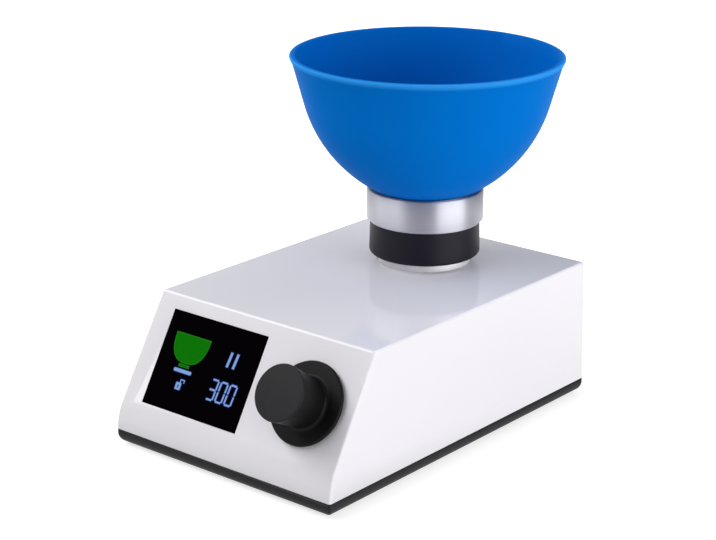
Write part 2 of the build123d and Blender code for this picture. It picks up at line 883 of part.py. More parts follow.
with BuildPart() as knob:
    with BuildSketch(knob_section) as knob_half:
        with BuildLine():
            Polyline(
                (0, knob_bottom),
                (knob_flange_radius, knob_bottom),
                (knob_flange_radius, knob_flange_top),
                (knob_waist_radius, knob_flange_top),
                (knob_face_radius, knob_face_height),
                (0, knob_face_height),
                close=True,
            )
        make_face()
        flange_corners = knob_half.vertices().group_by(Axis.X)[-1]
        fillet(flange_corners, knob_flange_edge)
        face_corner = knob_half.vertices().group_by(Axis.Y)[-1].sort_by(Axis.X)[-1]
        fillet(face_corner, knob_face_edge)
        waist = (knob_waist_radius, knob_flange_top)
        fillet(knob_half.vertices().sort_by_distance(waist)[0], knob_foot_radius)
    revolve(axis=knob_axis)
    with BuildSketch(slope.offset(knob_bottom)):
        with Locations(knob_centre):
            Circle(knob_recess_radius)
    extrude(amount=knob_recess_depth, mode=Mode.SUBTRACT)
    with BuildSketch(slope.offset(knob_bore_bottom)):
        with Locations(knob_centre):
            Circle(encoder_shaft_radius + thread_gap)
        with Locations((knob_u, shaft_flat_v + thread_gap)):
            Rectangle(2 * knob_recess_radius, knob_recess_radius, align=SIT, mode=Mode.SUBTRACT)
    extrude(amount=knob_face_height - knob_roof - knob_bore_bottom, mode=Mode.SUBTRACT)
finish(knob.part, "knob")

# ------------------------------------------------------------------ drive plate and housings
with BuildPart() as drive_plate:
    with BuildSketch(Plane.XY.offset(plate_bottom)):
        with Locations((0, spindle_y + (plate_rear_reach - plate_front_reach) / 2)):
            RectangleRounded(plate_width, plate_front_reach + plate_rear_reach, plate_corner)
        with Locations((0, spindle_y)):
            Circle(plate_shaft_hole, mode=Mode.SUBTRACT)
            with PolarLocations(lower_screw_ring_radius, screw_ring_count, screw_ring_angle):
                Circle(m3_radius + thread_gap, mode=Mode.SUBTRACT)
        with Locations((0, motor_y)):
            SlotCenterToCenter(
                motor_slot_length - 2 * m3_radius,
                2 * (motor_boss_radius + motor_boss_gap),
                rotation=90,
                mode=Mode.SUBTRACT,
            )
            with PolarLocations(
                motor_screw_ring_radius, screw_ring_count, screw_ring_angle, rotate=False
            ):
                SlotOverall(
                    motor_slot_length, 2 * (m3_radius + shank_gap), rotation=90, mode=Mode.SUBTRACT
                )
        with Locations(*standoffs):
            Circle(m3_radius + shank_gap, mode=Mode.SUBTRACT)
        with Locations(*bridge_screw_places):
            Circle(m4_radius + thread_gap, mode=Mode.SUBTRACT)
    extrude(amount=plate_thickness)
finish(drive_plate.part, "drive_plate")

with BuildPart() as plate_standoffs:
    with BuildSketch(Plane.XY.offset(standoff_bottom)):
        with Locations(*standoffs):
            RegularPolygon(standoff_radius, 6, major_radius=False)
            Circle(m3_radius + thread_gap, mode=Mode.SUBTRACT)
    extrude(amount=plate_bottom - standoff_bottom)
finish(plate_standoffs.part, "plate_standoffs")

with BuildPart() as lower_housing:
    with Locations((0, spindle_y)):
        upright(lower_housing_radius, lower_housing_bottom, plate_bottom)
        upright(lower_flange_radius, plate_bottom - lower_flange_thickness, plate_bottom)
        upright(bearing_seat, lower_housing_bottom, lower_bearing_top, mode=Mode.SUBTRACT)
        upright(shoulder_bore_radius, lower_housing_bottom, plate_bottom, mode=Mode.SUBTRACT)
        upright(
            bearing_radius + clip_depth,
            lower_bearing_bottom - clip_thickness - clip_slack,
            lower_bearing_bottom,
            mode=Mode.SUBTRACT,
        )
        with PolarLocations(lower_screw_ring_radius, screw_ring_count, screw_ring_angle):
            upright(m3_radius + shank_gap, lower_housing_bottom, plate_bottom, mode=Mode.SUBTRACT)
finish(lower_housing.part, "lower_housing")

with BuildPart() as plate_screws:
    with Locations(*[(x, y, plate_top) for x, y in standoffs]):
        add(pan_screw(m3_radius, standoff_screw_length, m3_head_radius, m3_head_height))
    with Locations(*[upward(x, y, pocket_z) for x, y in standoffs]):
        add(pan_screw(m3_radius, standoff_screw_length, m3_head_radius, m3_head_height))
    with Locations(upward(0, spindle_y, plate_bottom - lower_flange_thickness)):
        with PolarLocations(lower_screw_ring_radius, screw_ring_count, screw_ring_angle):
            add(pan_screw(m3_radius, lower_screw_length, m3_head_radius, m3_head_height))
    with Locations((0, motor_y, plate_top)):
        with PolarLocations(motor_screw_ring_radius, screw_ring_count, screw_ring_angle):
            add(pan_screw(m3_radius, motor_screw_length, m3_head_radius, m3_head_height))
finish(plate_screws.part, "plate_screws")

leg_x = bridge_leg_inner + bridge_leg_thickness / 2
with BuildPart() as bearing_bridge:
    with BuildSketch(Plane.XY.offset(bridge_bottom)):
        with Locations((0, spindle_y)):
            Rectangle(2 * (bridge_leg_inner + bridge_leg_thickness), 2 * bridge_half_length)
            Circle(collar_radius)
    extrude(amount=bridge_thickness)
    with BuildSketch(Plane.XY.offset(plate_top)):
        with Locations((-leg_x, spindle_y), (leg_x, spindle_y)):
            Rectangle(bridge_leg_thickness, 2 * bridge_leg_half)
    extrude(amount=bridge_bottom - plate_top)
    with BuildSketch(Plane.XY.offset(plate_top)):
        with Locations((-bridge_foot_x, spindle_y), (bridge_foot_x, spindle_y)):
            Rectangle(bridge_foot_reach, 2 * bridge_leg_half)
    extrude(amount=bridge_foot_thickness)
    with Locations((0, spindle_y)):
        upright(collar_radius, bridge_bottom, collar_top)
    chamfer(bearing_bridge.edges().group_by(Axis.Z)[-1], collar_edge)
    with Locations((0, spindle_y)):
        upright(bearing_seat, upper_bearing_bottom, collar_top, mode=Mode.SUBTRACT)
        upright(shoulder_bore_radius, bridge_bottom, collar_top, mode=Mode.SUBTRACT)
    with Locations(*bridge_screw_places):
        upright(m4_radius + shank_gap, plate_top, bridge_bottom, mode=Mode.SUBTRACT)
finish(bearing_bridge.part, "bearing_bridge")

with BuildPart() as bridge_screws:
    with Locations(*[(x, y, plate_top + bridge_foot_thickness) for x, y in bridge_screw_places]):
        add(pan_screw(m4_radius, bridge_screw_length, m4_head_radius, m4_head_height))
finish(bridge_screws.part, "bridge_screws")

# ------------------------------------------------------------------ ball bearings and seal
with BuildPart() as bearing_outer_rings:
    for low in bearing_bottoms:
        with Locations((0, spindle_y)):
            upright(bearing_radius, low, low + bearing_width)
            upright(bearing_outer_inner_radius, low, low + bearing_width, mode=Mode.SUBTRACT)
        with Locations((0, spindle_y, low + bearing_width / 2)):
            Torus(ball_circle, bearing_ball_radius + bearing_race_gap, mode=Mode.SUBTRACT)
finish(bearing_outer_rings.part, "bearing_outer_rings")

with BuildPart() as bearing_inner_rings:
    for low in bearing_bottoms:
        with Locations((0, spindle_y)):
            upright(bearing_inner_radius, low, low + bearing_width)
            upright(shaft_radius, low, low + bearing_width, mode=Mode.SUBTRACT)
        with Locations((0, spindle_y, low + bearing_width / 2)):
            Torus(ball_circle, bearing_ball_radius + bearing_race_gap, mode=Mode.SUBTRACT)
finish(bearing_inner_rings.part, "bearing_inner_rings")

with BuildPart() as bearing_balls:
    for low in bearing_bottoms:
        with Locations((0, spindle_y, low + bearing_width / 2)):
            with PolarLocations(ball_circle, bearing_ball_count):
                Sphere(bearing_ball_radius)
finish(bearing_balls.part, "bearing_balls")

with BuildPart() as bearing_shields:
    for low in bearing_bottoms:
        for bottom in (low, low + bearing_width - bearing_shield_thickness):
            with BuildSketch(Plane.XY.offset(bottom)):
                with Locations((0, spindle_y)):
                    Circle(bearing_outer_inner_radius)
                    Circle(bearing_inner_radius + bearing_shield_gap, mode=Mode.SUBTRACT)
            extrude(amount=bearing_shield_thickness)
finish(bearing_shields.part, "bearing_shields")

with BuildPart() as spindle_seal:
    with BuildSketch(Plane.XY.offset(upper_bearing_top)):
        with Locations((0, spindle_y)):
            Circle(bearing_radius)
            Circle(hub_spigot_radius + seal_lip_gap, mode=Mode.SUBTRACT)
    extrude(amount=seal_thickness)
finish(spindle_seal.part, "spindle_seal")

with BuildPart() as housing_clip:
    with BuildSketch(Plane.XY.offset(lower_bearing_bottom - clip_thickness)):
        with Locations((0, spindle_y)):
            Circle(bearing_radius + clip_depth - thread_gap)
            Circle(bearing_radius - clip_width, mode=Mode.SUBTRACT)
        with Locations((0, spindle_y - bearing_radius)):
            Rectangle(clip_opening, bearing_radius, mode=Mode.SUBTRACT)
    extrude(amount=clip_thickness - clip_slack)
finish(housing_clip.part, "housing_clip")

# ------------------------------------------------------------------ spindle
with BuildPart() as spindle_shaft:
    with Locations((0, spindle_y)):
        upright(shaft_radius, shaft_bottom, shaft_top)
        chamfer(spindle_shaft.edges(), shaft_chamfer)
        upright(shaft_shoulder_radius, lower_bearing_top, pulley_bottom)
        upright(m5_radius + thread_gap, shaft_top - hub_screw_length, shaft_top, mode=Mode.SUBTRACT)
    with BuildSketch(Plane.XY.offset(lower_bearing_bottom - clip_thickness - clip_slack)):
        with Locations((0, spindle_y)):
            Circle(shaft_radius)
            Circle(shaft_radius - clip_depth, mode=Mode.SUBTRACT)
    extrude(amount=clip_thickness + clip_slack, mode=Mode.SUBTRACT)
    with Locations(*key_places):
        key_seat()
finish(spindle_shaft.part, "spindle_shaft")

with BuildPart() as shaft_keys:
    with Locations(*key_places):
        Box(2 * key_depth, key_width, key_length)
finish(shaft_keys.part, "shaft_keys")

with BuildPart() as shaft_clip:
    with BuildSketch(Plane.XY.offset(lower_bearing_bottom - clip_thickness)):
        with Locations((0, spindle_y)):
            Circle(shaft_radius - clip_depth + thread_gap + clip_width)
            Circle(shaft_radius - clip_depth + thread_gap, mode=Mode.SUBTRACT)
        with Locations((0, spindle_y - shaft_radius)):
            Rectangle(clip_opening, shaft_radius, mode=Mode.SUBTRACT)
    extrude(amount=clip_thickness - clip_slack)
finish(shaft_clip.part, "shaft_clip")


def rib_teeth(radius, mode):
    """Tapered ribs of the belt, pointing inward from a radius, in the current sketch."""
    half_root = (rib_pitch - rib_crest) / 2
    half_tip = rib_crest / 2
    for rib in range(rib_count):
        z = belt_z + (rib - (rib_count - 1) / 2) * rib_pitch
        Polygon(
            (radius, z - half_root),
            (radius, z + half_root),
            (radius - rib_depth, z + half_tip),
            (radius - rib_depth, z - half_tip),
            align=None,
            mode=mode,
        )


with BuildPart() as spindle_pulley:
    with Locations((0, spindle_y)):
        upright(spindle_pulley_radius, pulley_bottom, pulley_top)
    web_low = belt_z - pulley_web / 2
    web_high = belt_z + pulley_web / 2
    for low, high in ((pulley_bottom, web_low), (web_high, pulley_top)):
        with BuildSketch(Plane.XY.offset(low)):
            with Locations((0, spindle_y)):
                Circle(spindle_pulley_radius - pulley_rim)
                Circle(pulley_hub_radius, mode=Mode.SUBTRACT)
        extrude(amount=high - low, mode=Mode.SUBTRACT)
    with Locations((0, spindle_y)):
        upright(pulley_hub_radius, pulley_top, upper_bearing_bottom)
        upright(shaft_radius, pulley_bottom, upper_bearing_bottom, mode=Mode.SUBTRACT)
        with PolarLocations(pulley_hole_ring_radius, pulley_hole_count):
            upright(pulley_hole_radius, web_low, web_high, mode=Mode.SUBTRACT)
    with Locations((shaft_radius, spindle_y, belt_z)):
        key_seat()
    with BuildSketch(spindle_section):
        rib_teeth(spindle_pulley_radius, Mode.ADD)
    revolve(axis=spindle_axis, mode=Mode.SUBTRACT)
finish(spindle_pulley.part, "spindle_pulley")

# ------------------------------------------------------------------ motor
motor_flange_radius = motor_pulley_radius + motor_flange_rise
with BuildPart() as motor_pulley:
    with Locations((0, motor_y)):
        upright(motor_pulley_radius, pulley_bottom, motor_pulley_top)
    with BuildSketch(motor_section):
        rib_teeth(motor_pulley_radius, Mode.ADD)
    revolve(axis=motor_axis, mode=Mode.SUBTRACT)
    with Locations((0, motor_y)):
        upright(motor_flange_radius, pulley_bottom, pulley_bottom + motor_flange_thickness)
        upright(motor_flange_radius, pulley_top - motor_flange_thickness, pulley_top)
        upright(motor_shaft_radius, pulley_bottom, motor_pulley_top, mode=Mode.SUBTRACT)
    with BuildSketch(set_screw_plane):
        Circle(set_screw_radius + thread_gap)
    extrude(amount=motor_pulley_radius, mode=Mode.SUBTRACT)
finish(motor_pulley.part, "motor_pulley")

with BuildPart() as pulley_set_screw:
    with BuildSketch(set_screw_plane.offset(motor_shaft_radius)):
        Circle(set_screw_radius)
    extrude(amount=set_screw_length)
    with BuildSketch(set_screw_plane.offset(motor_shaft_radius + set_screw_length)):
        RegularPolygon(set_screw_radius * socket_share, 6)
    extrude(amount=-set_screw_length * socket_share, mode=Mode.SUBTRACT)
finish(pulley_set_screw.part, "pulley_set_screw")

with BuildPart() as motor_can:
    with Locations((0, motor_y)):
        upright(motor_radius, motor_bottom, bell_bottom)
        upright(motor_radius - motor_wall, motor_bottom + motor_wall, bell_bottom, mode=Mode.SUBTRACT)
        upright(motor_bush_radius + motor_wall, motor_bottom, motor_bottom + motor_bush_length)
        upright(
            motor_bush_radius, motor_bottom, motor_bottom + motor_bush_length, mode=Mode.SUBTRACT
        )
    # holes of the two leads
    with BuildSketch(Plane.YZ):
        with Locations(*[(y, motor_lead_z) for y in motor_lead_starts]):
            Circle(lead_radius + lead_gap)
    extrude(amount=motor_radius, mode=Mode.SUBTRACT)
finish(motor_can.part, "motor_can")

with BuildPart() as motor_bell:
    with Locations((0, motor_y)):
        upright(motor_radius, bell_bottom, plate_bottom)
        upright(motor_boss_radius, plate_bottom, plate_bottom + motor_boss_rise)
        upright(motor_bush_radius, bell_bottom, plate_bottom + motor_boss_rise, mode=Mode.SUBTRACT)
        with PolarLocations(motor_screw_ring_radius, screw_ring_count, screw_ring_angle):
            upright(m3_radius + thread_gap, bell_bottom, plate_bottom, mode=Mode.SUBTRACT)
finish(motor_bell.part, "motor_bell")

with BuildPart() as motor_bushes:
    with Locations((0, motor_y)):
        upright(motor_bush_radius, motor_bottom, motor_bottom + motor_bush_length)
        upright(
            motor_bush_radius,
            plate_bottom + motor_boss_rise - motor_bush_length,
            plate_bottom + motor_boss_rise,
        )
        upright(
            motor_shaft_radius + motor_shaft_gap, motor_bottom, plate_top, mode=Mode.SUBTRACT
        )
finish(motor_bushes.part, "motor_bushes")

with BuildPart() as motor_stator:
    with Locations((0, motor_y)):
        upright(motor_radius - motor_wall, stator_bottom, stator_top)
        upright(stator_bore, stator_bottom, stator_top, mode=Mode.SUBTRACT)
        with Locations((0, 0, (stator_bottom + stator_top) / 2)):
            with PolarLocations(stator_bore, stator_slot_count):
                Box(2 * stator_slot_depth, stator_slot_width, stator_height, mode=Mode.SUBTRACT)
    for low in (stator_bottom - coil_overhang, stator_top):
        with BuildSketch(Plane.XY.offset(low)):
            with Locations((0, motor_y)):
                Circle(motor_radius - motor_wall - coil_inset)
                Circle(stator_bore + coil_inset, mode=Mode.SUBTRACT)
        extrude(amount=coil_overhang)
finish(motor_stator.part, "motor_stator")

with BuildPart() as motor_rotor:
    with Locations((0, motor_y)):
        upright(rotor_radius, stator_bottom, stator_top)
        upright(motor_shaft_radius, stator_bottom, stator_top, mode=Mode.SUBTRACT)
finish(motor_rotor.part, "motor_rotor")

with BuildPart() as motor_shaft:
    with Locations((0, motor_y)):
        upright(motor_shaft_radius, motor_bottom, motor_pulley_top)
    chamfer(motor_shaft.edges(), shaft_chamfer / 2)
finish(motor_shaft.part, "motor_shaft")

# ------------------------------------------------------------------ belt
belt_lean = asin((spindle_pulley_radius - motor_pulley_radius) / centre_distance)
belt_run = centre_distance * cos(belt_lean)
side_x = cos(belt_lean)
side_y = -sin(belt_lean)


def belt_section(radius):
    """Section of the belt round a pulley: its backing and the ribs on its inside."""
    inner = radius + belt_gap
    with Locations((inner + belt_backing / 2, belt_z)):
        Rectangle(belt_backing, rib_count * rib_pitch)
    rib_teeth(inner, Mode.ADD)


with BuildPart() as drive_belt:
    with BuildSketch(
        Plane(origin=(0, spindle_y, 0), x_dir=(side_x, side_y, 0), z_dir=(side_y, -side_x, 0))
    ):
        belt_section(spindle_pulley_radius)
    extrude(amount=belt_run)
    mirror(about=Plane.YZ)
    with BuildSketch(
        Plane(origin=(0, spindle_y, 0), x_dir=(side_x, side_y, 0), z_dir=(side_y, -side_x, 0))
    ):
        belt_section(spindle_pulley_radius)
    revolve(axis=spindle_axis, revolution_arc=180 + 2 * degrees(belt_lean))
    with BuildSketch(
        Plane(origin=(0, motor_y, 0), x_dir=(-side_x, side_y, 0), z_dir=(side_y, side_x, 0))
    ):
        belt_section(motor_pulley_radius)
    revolve(axis=motor_axis, revolution_arc=180 - 2 * degrees(belt_lean))
finish(drive_belt.part, "drive_belt")

# ------------------------------------------------------------------ hub and bowl holder
with BuildPart() as drive_hub:
    with BuildSketch(spindle_section):
        with BuildLine():
            Polyline(
                (0, hub_bottom),
                (hub_bottom_radius, hub_bottom),
                (hub_top_radius, hub_top),
                (0, hub_top),
                close=True,
            )
        make_face()
    revolve(axis=spindle_axis)
    fillet(drive_hub.edges().group_by(Axis.Z)[0], hub_edge)
    with Locations((0, spindle_y)):
        upright(hub_spigot_radius, upper_bearing_top, hub_bottom)
        upright(shaft_radius, upper_bearing_top, shaft_top, mode=Mode.SUBTRACT)
        upright(m5_radius + shank_gap, shaft_top, hub_top, mode=Mode.SUBTRACT)
        upright(holder_hole_radius, shaft_top + hub_web, hub_top, mode=Mode.SUBTRACT)
        with PolarLocations(holder_screw_ring_radius, holder_screw_count):
            upright(
                m4_radius + thread_gap,
                holder_inside - holder_screw_length - shank_gap,
                hub_top,
                mode=Mode.SUBTRACT,
            )
    with Locations((shaft_radius, spindle_y, hub_key_z)):
        key_seat()
finish(drive_hub.part, "drive_hub")

with BuildPart() as hub_screw:
    with Locations((0, spindle_y)):
        upright(hub_washer_radius, shaft_top + hub_web, washer_top)
        upright(m5_radius + shank_gap, shaft_top + hub_web, washer_top, mode=Mode.SUBTRACT)
    with Locations((0, spindle_y, washer_top)):
        add(pan_screw(m5_radius, hub_screw_length, m5_head_radius, m5_head_height))
finish(hub_screw.part, "hub_screw")

grip_z = holder_inside + grip_ring_height
grip_circle = bowl_foot_radius + bowl_foot_gap + grip_ring_radius
with BuildPart() as bowl_holder:
    with Locations((0, spindle_y)):
        upright(holder_radius, hub_top, holder_top)
    chamfer(bowl_holder.edges().group_by(Axis.Z)[0], holder_bottom_edge)
    chamfer(bowl_holder.edges().group_by(Axis.Z)[-1], holder_top_edge)
    with Locations((0, spindle_y)):
        upright(holder_bore, holder_inside, holder_top, mode=Mode.SUBTRACT)
        upright(holder_hole_radius, hub_top, holder_inside, mode=Mode.SUBTRACT)
        with PolarLocations(holder_screw_ring_radius, holder_screw_count):
            upright(m4_radius + shank_gap, hub_top, holder_inside, mode=Mode.SUBTRACT)
            with Locations((0, 0, holder_inside)):
                Cone(
                    m4_radius + shank_gap,
                    m4_head_radius + shank_gap,
                    m4_head_radius - m4_radius,
                    align=HANG,
                    mode=Mode.SUBTRACT,
                )
        with Locations((0, 0, grip_z)):
            Torus(grip_circle, grip_ring_radius + thread_gap, mode=Mode.SUBTRACT)
        with Locations((0, 0, holder_inside)):
            with PolarLocations(dog_circle, holder_screw_count, start_angle=dog_angle):
                Box(dog_depth, dog_width, dog_height, align=STAND)
finish(bowl_holder.part, "bowl_holder")

with BuildPart() as holder_screws:
    with Locations((0, spindle_y, holder_inside)):
        with PolarLocations(holder_screw_ring_radius, holder_screw_count):
            add(sunk_screw(m4_radius, holder_screw_length, m4_head_radius))
finish(holder_screws.part, "holder_screws")

with BuildPart() as grip_ring:
    with Locations((0, spindle_y, grip_z)):
        Torus(grip_circle, grip_ring_radius)
finish(grip_ring.part, "grip_ring")

# ------------------------------------------------------------------ bowl
bowl_bottom = holder_inside + bowl_foot_gap
underside_z = holder_top + bowl_underside
bowl_foot_bore = bowl_foot_radius - bowl_foot_wall
lip_z = bowl_rim_z - bowl_lip_height
lip_root = bowl_rim_radius - bowl_lip_reach
flare_end_z = bowl_rim_z - bowl_flare_depth
flare_slope = tan(radians(bowl_flare))
flare_end = Vector(lip_root - (lip_z - flare_end_z) * flare_slope, flare_end_z)
flare_inward = Vector(-cos(radians(bowl_flare)), sin(radians(bowl_flare)))
inner_flare_end = flare_end + flare_inward * bowl_wall
inner_rim_radius = inner_flare_end.X + (bowl_rim_z - inner_flare_end.Y) * flare_slope
belly_foot = Vector(bowl_foot_radius + bowl_foot_step, underside_z)
# the belly's round touches the straight upper wall and ends at the foot
belly_chord = belly_foot - flare_end
belly_radius = belly_chord.length**2 / (2 * belly_chord.dot(flare_inward))
belly_centre = flare_end + flare_inward * belly_radius
inner_belly_radius = belly_radius - bowl_wall
# the floor inside lies where the inner round comes down to the floor's own radius
floor_offset = bowl_floor_radius - belly_centre.X
bowl_inside_z = belly_centre.Y - sqrt(inner_belly_radius**2 - floor_offset**2)
floor_corner = (bowl_floor_radius, bowl_inside_z)


def belly_point(radius, z):
    """Point at a height on a round about the belly's centre, in the bowl's section."""
    return (belly_centre.X + sqrt(radius**2 - (belly_centre.Y - z) ** 2), z)


with BuildPart() as mixing_bowl:
    with BuildSketch(spindle_section) as bowl_half:
        with BuildLine():
            ThreePointArc(
                belly_foot,
                belly_point(belly_radius, (underside_z + flare_end_z) / 2),
                flare_end,
            )
            Polyline(
                flare_end,
                (lip_root, lip_z),
                (bowl_rim_radius, bowl_rim_z - bowl_lip_band),
                (bowl_rim_radius, bowl_rim_z),
                (inner_rim_radius, bowl_rim_z),
                inner_flare_end,
            )
            ThreePointArc(
                inner_flare_end,
                belly_point(inner_belly_radius, (underside_z + flare_end_z) / 2),
                floor_corner,
            )
            Polyline(
                floor_corner,
                (0, bowl_inside_z),
                (0, bowl_inside_z - bowl_floor),
                (bowl_foot_bore, bowl_inside_z - bowl_floor),
                (bowl_foot_bore, bowl_bottom),
                (bowl_foot_radius, bowl_bottom),
                (bowl_foot_radius, underside_z),
                belly_foot,
            )
        make_face()
        fillet(bowl_half.vertices().group_by(Axis.Y)[-1], bowl_lip_edge)
        fillet(bowl_half.vertices().sort_by_distance(floor_corner)[0], bowl_floor_round)
    revolve(axis=spindle_axis)
    with Locations((0, spindle_y, bowl_bottom)):
        with PolarLocations(dog_circle, holder_screw_count, start_angle=dog_angle):
            Box(
                2 * dog_depth,
                dog_width + 2 * dog_gap,
                2 * dog_height,
                mode=Mode.SUBTRACT,
            )
finish(mixing_bowl.part, "mixing_bowl")

# ------------------------------------------------------------------ rear panel and its fittings
panel_face = -cover_wall
with BuildPart() as rear_panel:
    with BuildSketch(rear.offset(panel_face)):
        with Locations((0, rear_window_v)):
            RectangleRounded(
                rear_window_width + 2 * rear_panel_margin,
                rear_window_height + 2 * rear_panel_margin,
                rear_window_corner,
            )
        with Locations(*rear_screws_uv):
            Circle(m3_radius + thread_gap, mode=Mode.SUBTRACT)
        with Locations((inlet_u, fittings_v)):
            Rectangle(
                inlet_body_width + 2 * inlet_fit, inlet_body_height + 2 * inlet_fit, mode=Mode.SUBTRACT
            )
            with Locations((-inlet_screw_u, 0), (inlet_screw_u, 0)):
                Circle(m3_radius + thread_gap, mode=Mode.SUBTRACT)
        with Locations((switch_u, fittings_v)):
            Rectangle(
                switch_body_width + 2 * inlet_fit, switch_body_height + 2 * inlet_fit, mode=Mode.SUBTRACT
            )
        with Locations((vent_u, rear_window_v)):
            with GridLocations(vent_pitch, 0, vent_count, 1):
                SlotOverall(vent_length, vent_width, rotation=90, mode=Mode.SUBTRACT)
    extrude(amount=-rear_panel_thickness)
finish(rear_panel.part, "rear_panel")

pin_places = [
    (inlet_u - inlet_pin_spacing, fittings_v - inlet_pin_offset),
    (inlet_u + inlet_pin_spacing, fittings_v - inlet_pin_offset),
    (inlet_u, fittings_v + inlet_pin_offset),
]
inlet_front = panel_face + inlet_flange_thickness
inlet_cavity_end = inlet_front - inlet_cavity_depth
tab_end = panel_face - inlet_body_depth - inlet_tab_length
with BuildPart() as power_inlet:
    with BuildSketch(rear.offset(panel_face)):
        with Locations((inlet_u, fittings_v)):
            RectangleRounded(inlet_flange_width, inlet_flange_height, inlet_flange_corner)
            with Locations((-inlet_screw_u, 0), (inlet_screw_u, 0)):
                Circle(m3_radius + shank_gap, mode=Mode.SUBTRACT)
    extrude(amount=inlet_flange_thickness)
    with BuildSketch(rear.offset(panel_face)):
        with Locations((inlet_u, fittings_v)):
            Rectangle(inlet_body_width, inlet_body_height)
    extrude(amount=-inlet_body_depth)
    with BuildSketch(rear.offset(inlet_front)) as inlet_mouth:
        with Locations((inlet_u, fittings_v)):
            Rectangle(inlet_cavity_width, inlet_cavity_height)
        chamfer(inlet_mouth.vertices().group_by(Axis.Y)[-1], inlet_cavity_corner)
    extrude(amount=-inlet_cavity_depth, mode=Mode.SUBTRACT)
    with BuildSketch(rear.offset(inlet_cavity_end)):
        with Locations(*pin_places):
            Rectangle(inlet_pin_thickness, inlet_pin_width)
    extrude(amount=-inlet_body_depth, mode=Mode.SUBTRACT)
finish(power_inlet.part, "power_inlet")

with BuildPart() as inlet_pins:
    with BuildSketch(rear.offset(inlet_cavity_end + inlet_pin_length)):
        with Locations(*pin_places):
            Rectangle(inlet_pin_thickness, inlet_pin_width)
    extrude(amount=tab_end - inlet_cavity_end - inlet_pin_length)
finish(inlet_pins.part, "inlet_pins")

with BuildPart() as rear_screws:
    with Locations(
        *[rear_place(u, v, 0) for u, v in rear_screws_uv],
        rear_place(inlet_u - inlet_screw_u, fittings_v, inlet_front),
        rear_place(inlet_u + inlet_screw_u, fittings_v, inlet_front),
    ):
        add(pan_screw(m3_radius, rear_screw_length, m3_head_radius, m3_head_height))
finish(rear_screws.part, "rear_screws")

switch_front = panel_face + switch_flange_thickness
switch_well_width = switch_body_width - 2 * switch_wall
switch_well_height = switch_body_height - 2 * switch_wall
rocker_half = switch_well_height / 2 - rocker_end_gap
pivot = rear.from_local_coords((switch_u, fittings_v, switch_front - rocker_pivot_depth))
rocker_plane = Plane(origin=pivot, x_dir=rear.y_dir, z_dir=rear.x_dir)
with BuildPart() as power_switch:
    with BuildSketch(rear.offset(panel_face)):
        with Locations((switch_u, fittings_v)):
            RectangleRounded(switch_flange_width, switch_flange_height, switch_wall)
    extrude(amount=switch_flange_thickness)
    with BuildSketch(rear.offset(panel_face)):
        with Locations((switch_u, fittings_v)):
            Rectangle(switch_body_width, switch_body_height)
    extrude(amount=-switch_body_depth)
    with BuildSketch(rear.offset(switch_front)):
        with Locations((switch_u, fittings_v)):
            Rectangle(switch_well_width, switch_well_height)
    extrude(amount=-switch_well_depth, mode=Mode.SUBTRACT)
    with BuildSketch(rocker_plane):
        Circle(rocker_pin_radius + rocker_pin_gap)
    pin_reach = switch_well_width / 2 + rocker_pin_length
    extrude(amount=pin_reach + rocker_pin_gap, both=True, mode=Mode.SUBTRACT)
finish(power_switch.part, "power_switch")

rocker_end = rocker_half * tan(radians(rocker_throw))
rocked_plane = Plane(rocker_plane.location * Location((0, 0, 0), (0, 0, rocker_throw)))
with BuildPart() as switch_rocker:
    with BuildSketch(rocked_plane):
        with BuildLine():
            Polyline(
                (-rocker_half, rocker_rise + rocker_end),
                (0, rocker_rise),
                (rocker_half, rocker_rise + rocker_end),
                (rocker_half, rocker_rise + rocker_end - rocker_depth),
                (0, rocker_rise - rocker_depth - rocker_belly),
                (-rocker_half, rocker_rise + rocker_end - rocker_depth),
                close=True,
            )
        make_face()
    extrude(amount=switch_well_width / 2 - rocker_gap, both=True)
    with BuildSketch(rocker_plane):
        Circle(rocker_pin_radius)
    extrude(amount=pin_reach, both=True)
finish(switch_rocker.part, "switch_rocker")

# ------------------------------------------------------------------ boards on the base
for side, board_name in ((-1, "power_board"), (1, "motor_board")):
    with BuildPart() as board:
        with BuildSketch(Plane.XY.offset(board_z)):
            with Locations((side * board_x, board_y)):
                RectangleRounded(board_width, board_length, board_corner)
            with Locations(*[place for place in board_posts if place[0] * side > 0]):
                Circle(m3_radius + shank_gap, mode=Mode.SUBTRACT)
        extrude(amount=board_thickness)
    finish(board.part, board_name)

with BuildPart() as board_screws:
    with Locations(*[(x, y, board_top) for x, y in board_posts]):
        add(pan_screw(m3_radius, board_screw_length, m3_head_radius, m3_head_height))
finish(board_screws.part, "board_screws")

transformer_place = (-board_x, board_y + transformer_y)
core_low = board_top + (transformer_height - transformer_core) / 2
with BuildPart() as transformer:
    with BuildSketch(Plane.XY.offset(board_top)):
        with Locations(transformer_place):
            Rectangle(transformer_width, transformer_core)
    extrude(amount=transformer_height)
    with BuildSketch(Plane.XY.offset(core_low)):
        with Locations(transformer_place):
            RectangleRounded(transformer_width - 2 * coil_overhang, transformer_length, coil_corner)
    extrude(amount=transformer_core)
finish(transformer.part, "transformer")

with BuildPart() as capacitors:
    for side, count in ((-1, 2), (1, 1)):
        with Locations((side * board_x, board_y + capacitor_y)):
            with GridLocations(capacitor_pitch, capacitor_pitch, count, 1):
                upright(capacitor_radius, board_top, board_top + capacitor_height)
    fillet(capacitors.edges().group_by(Axis.Z)[-1], capacitor_edge)
finish(capacitors.part, "capacitors")

with BuildPart() as heatsink:
    with BuildSketch(Plane.XY.offset(board_top)):
        with Locations((board_x, board_y - heatsink_back)):
            Rectangle(heatsink_width, heatsink_length)
    extrude(amount=heatsink_base)
    with BuildSketch(Plane.XY.offset(board_top + heatsink_base)):
        with Locations((board_x, board_y - heatsink_back)):
            with GridLocations(heatsink_fin_pitch, 0, heatsink_fin_count, 1):
                Rectangle(heatsink_fin, heatsink_length)
    extrude(amount=heatsink_height - heatsink_base)
finish(heatsink.part, "heatsink")

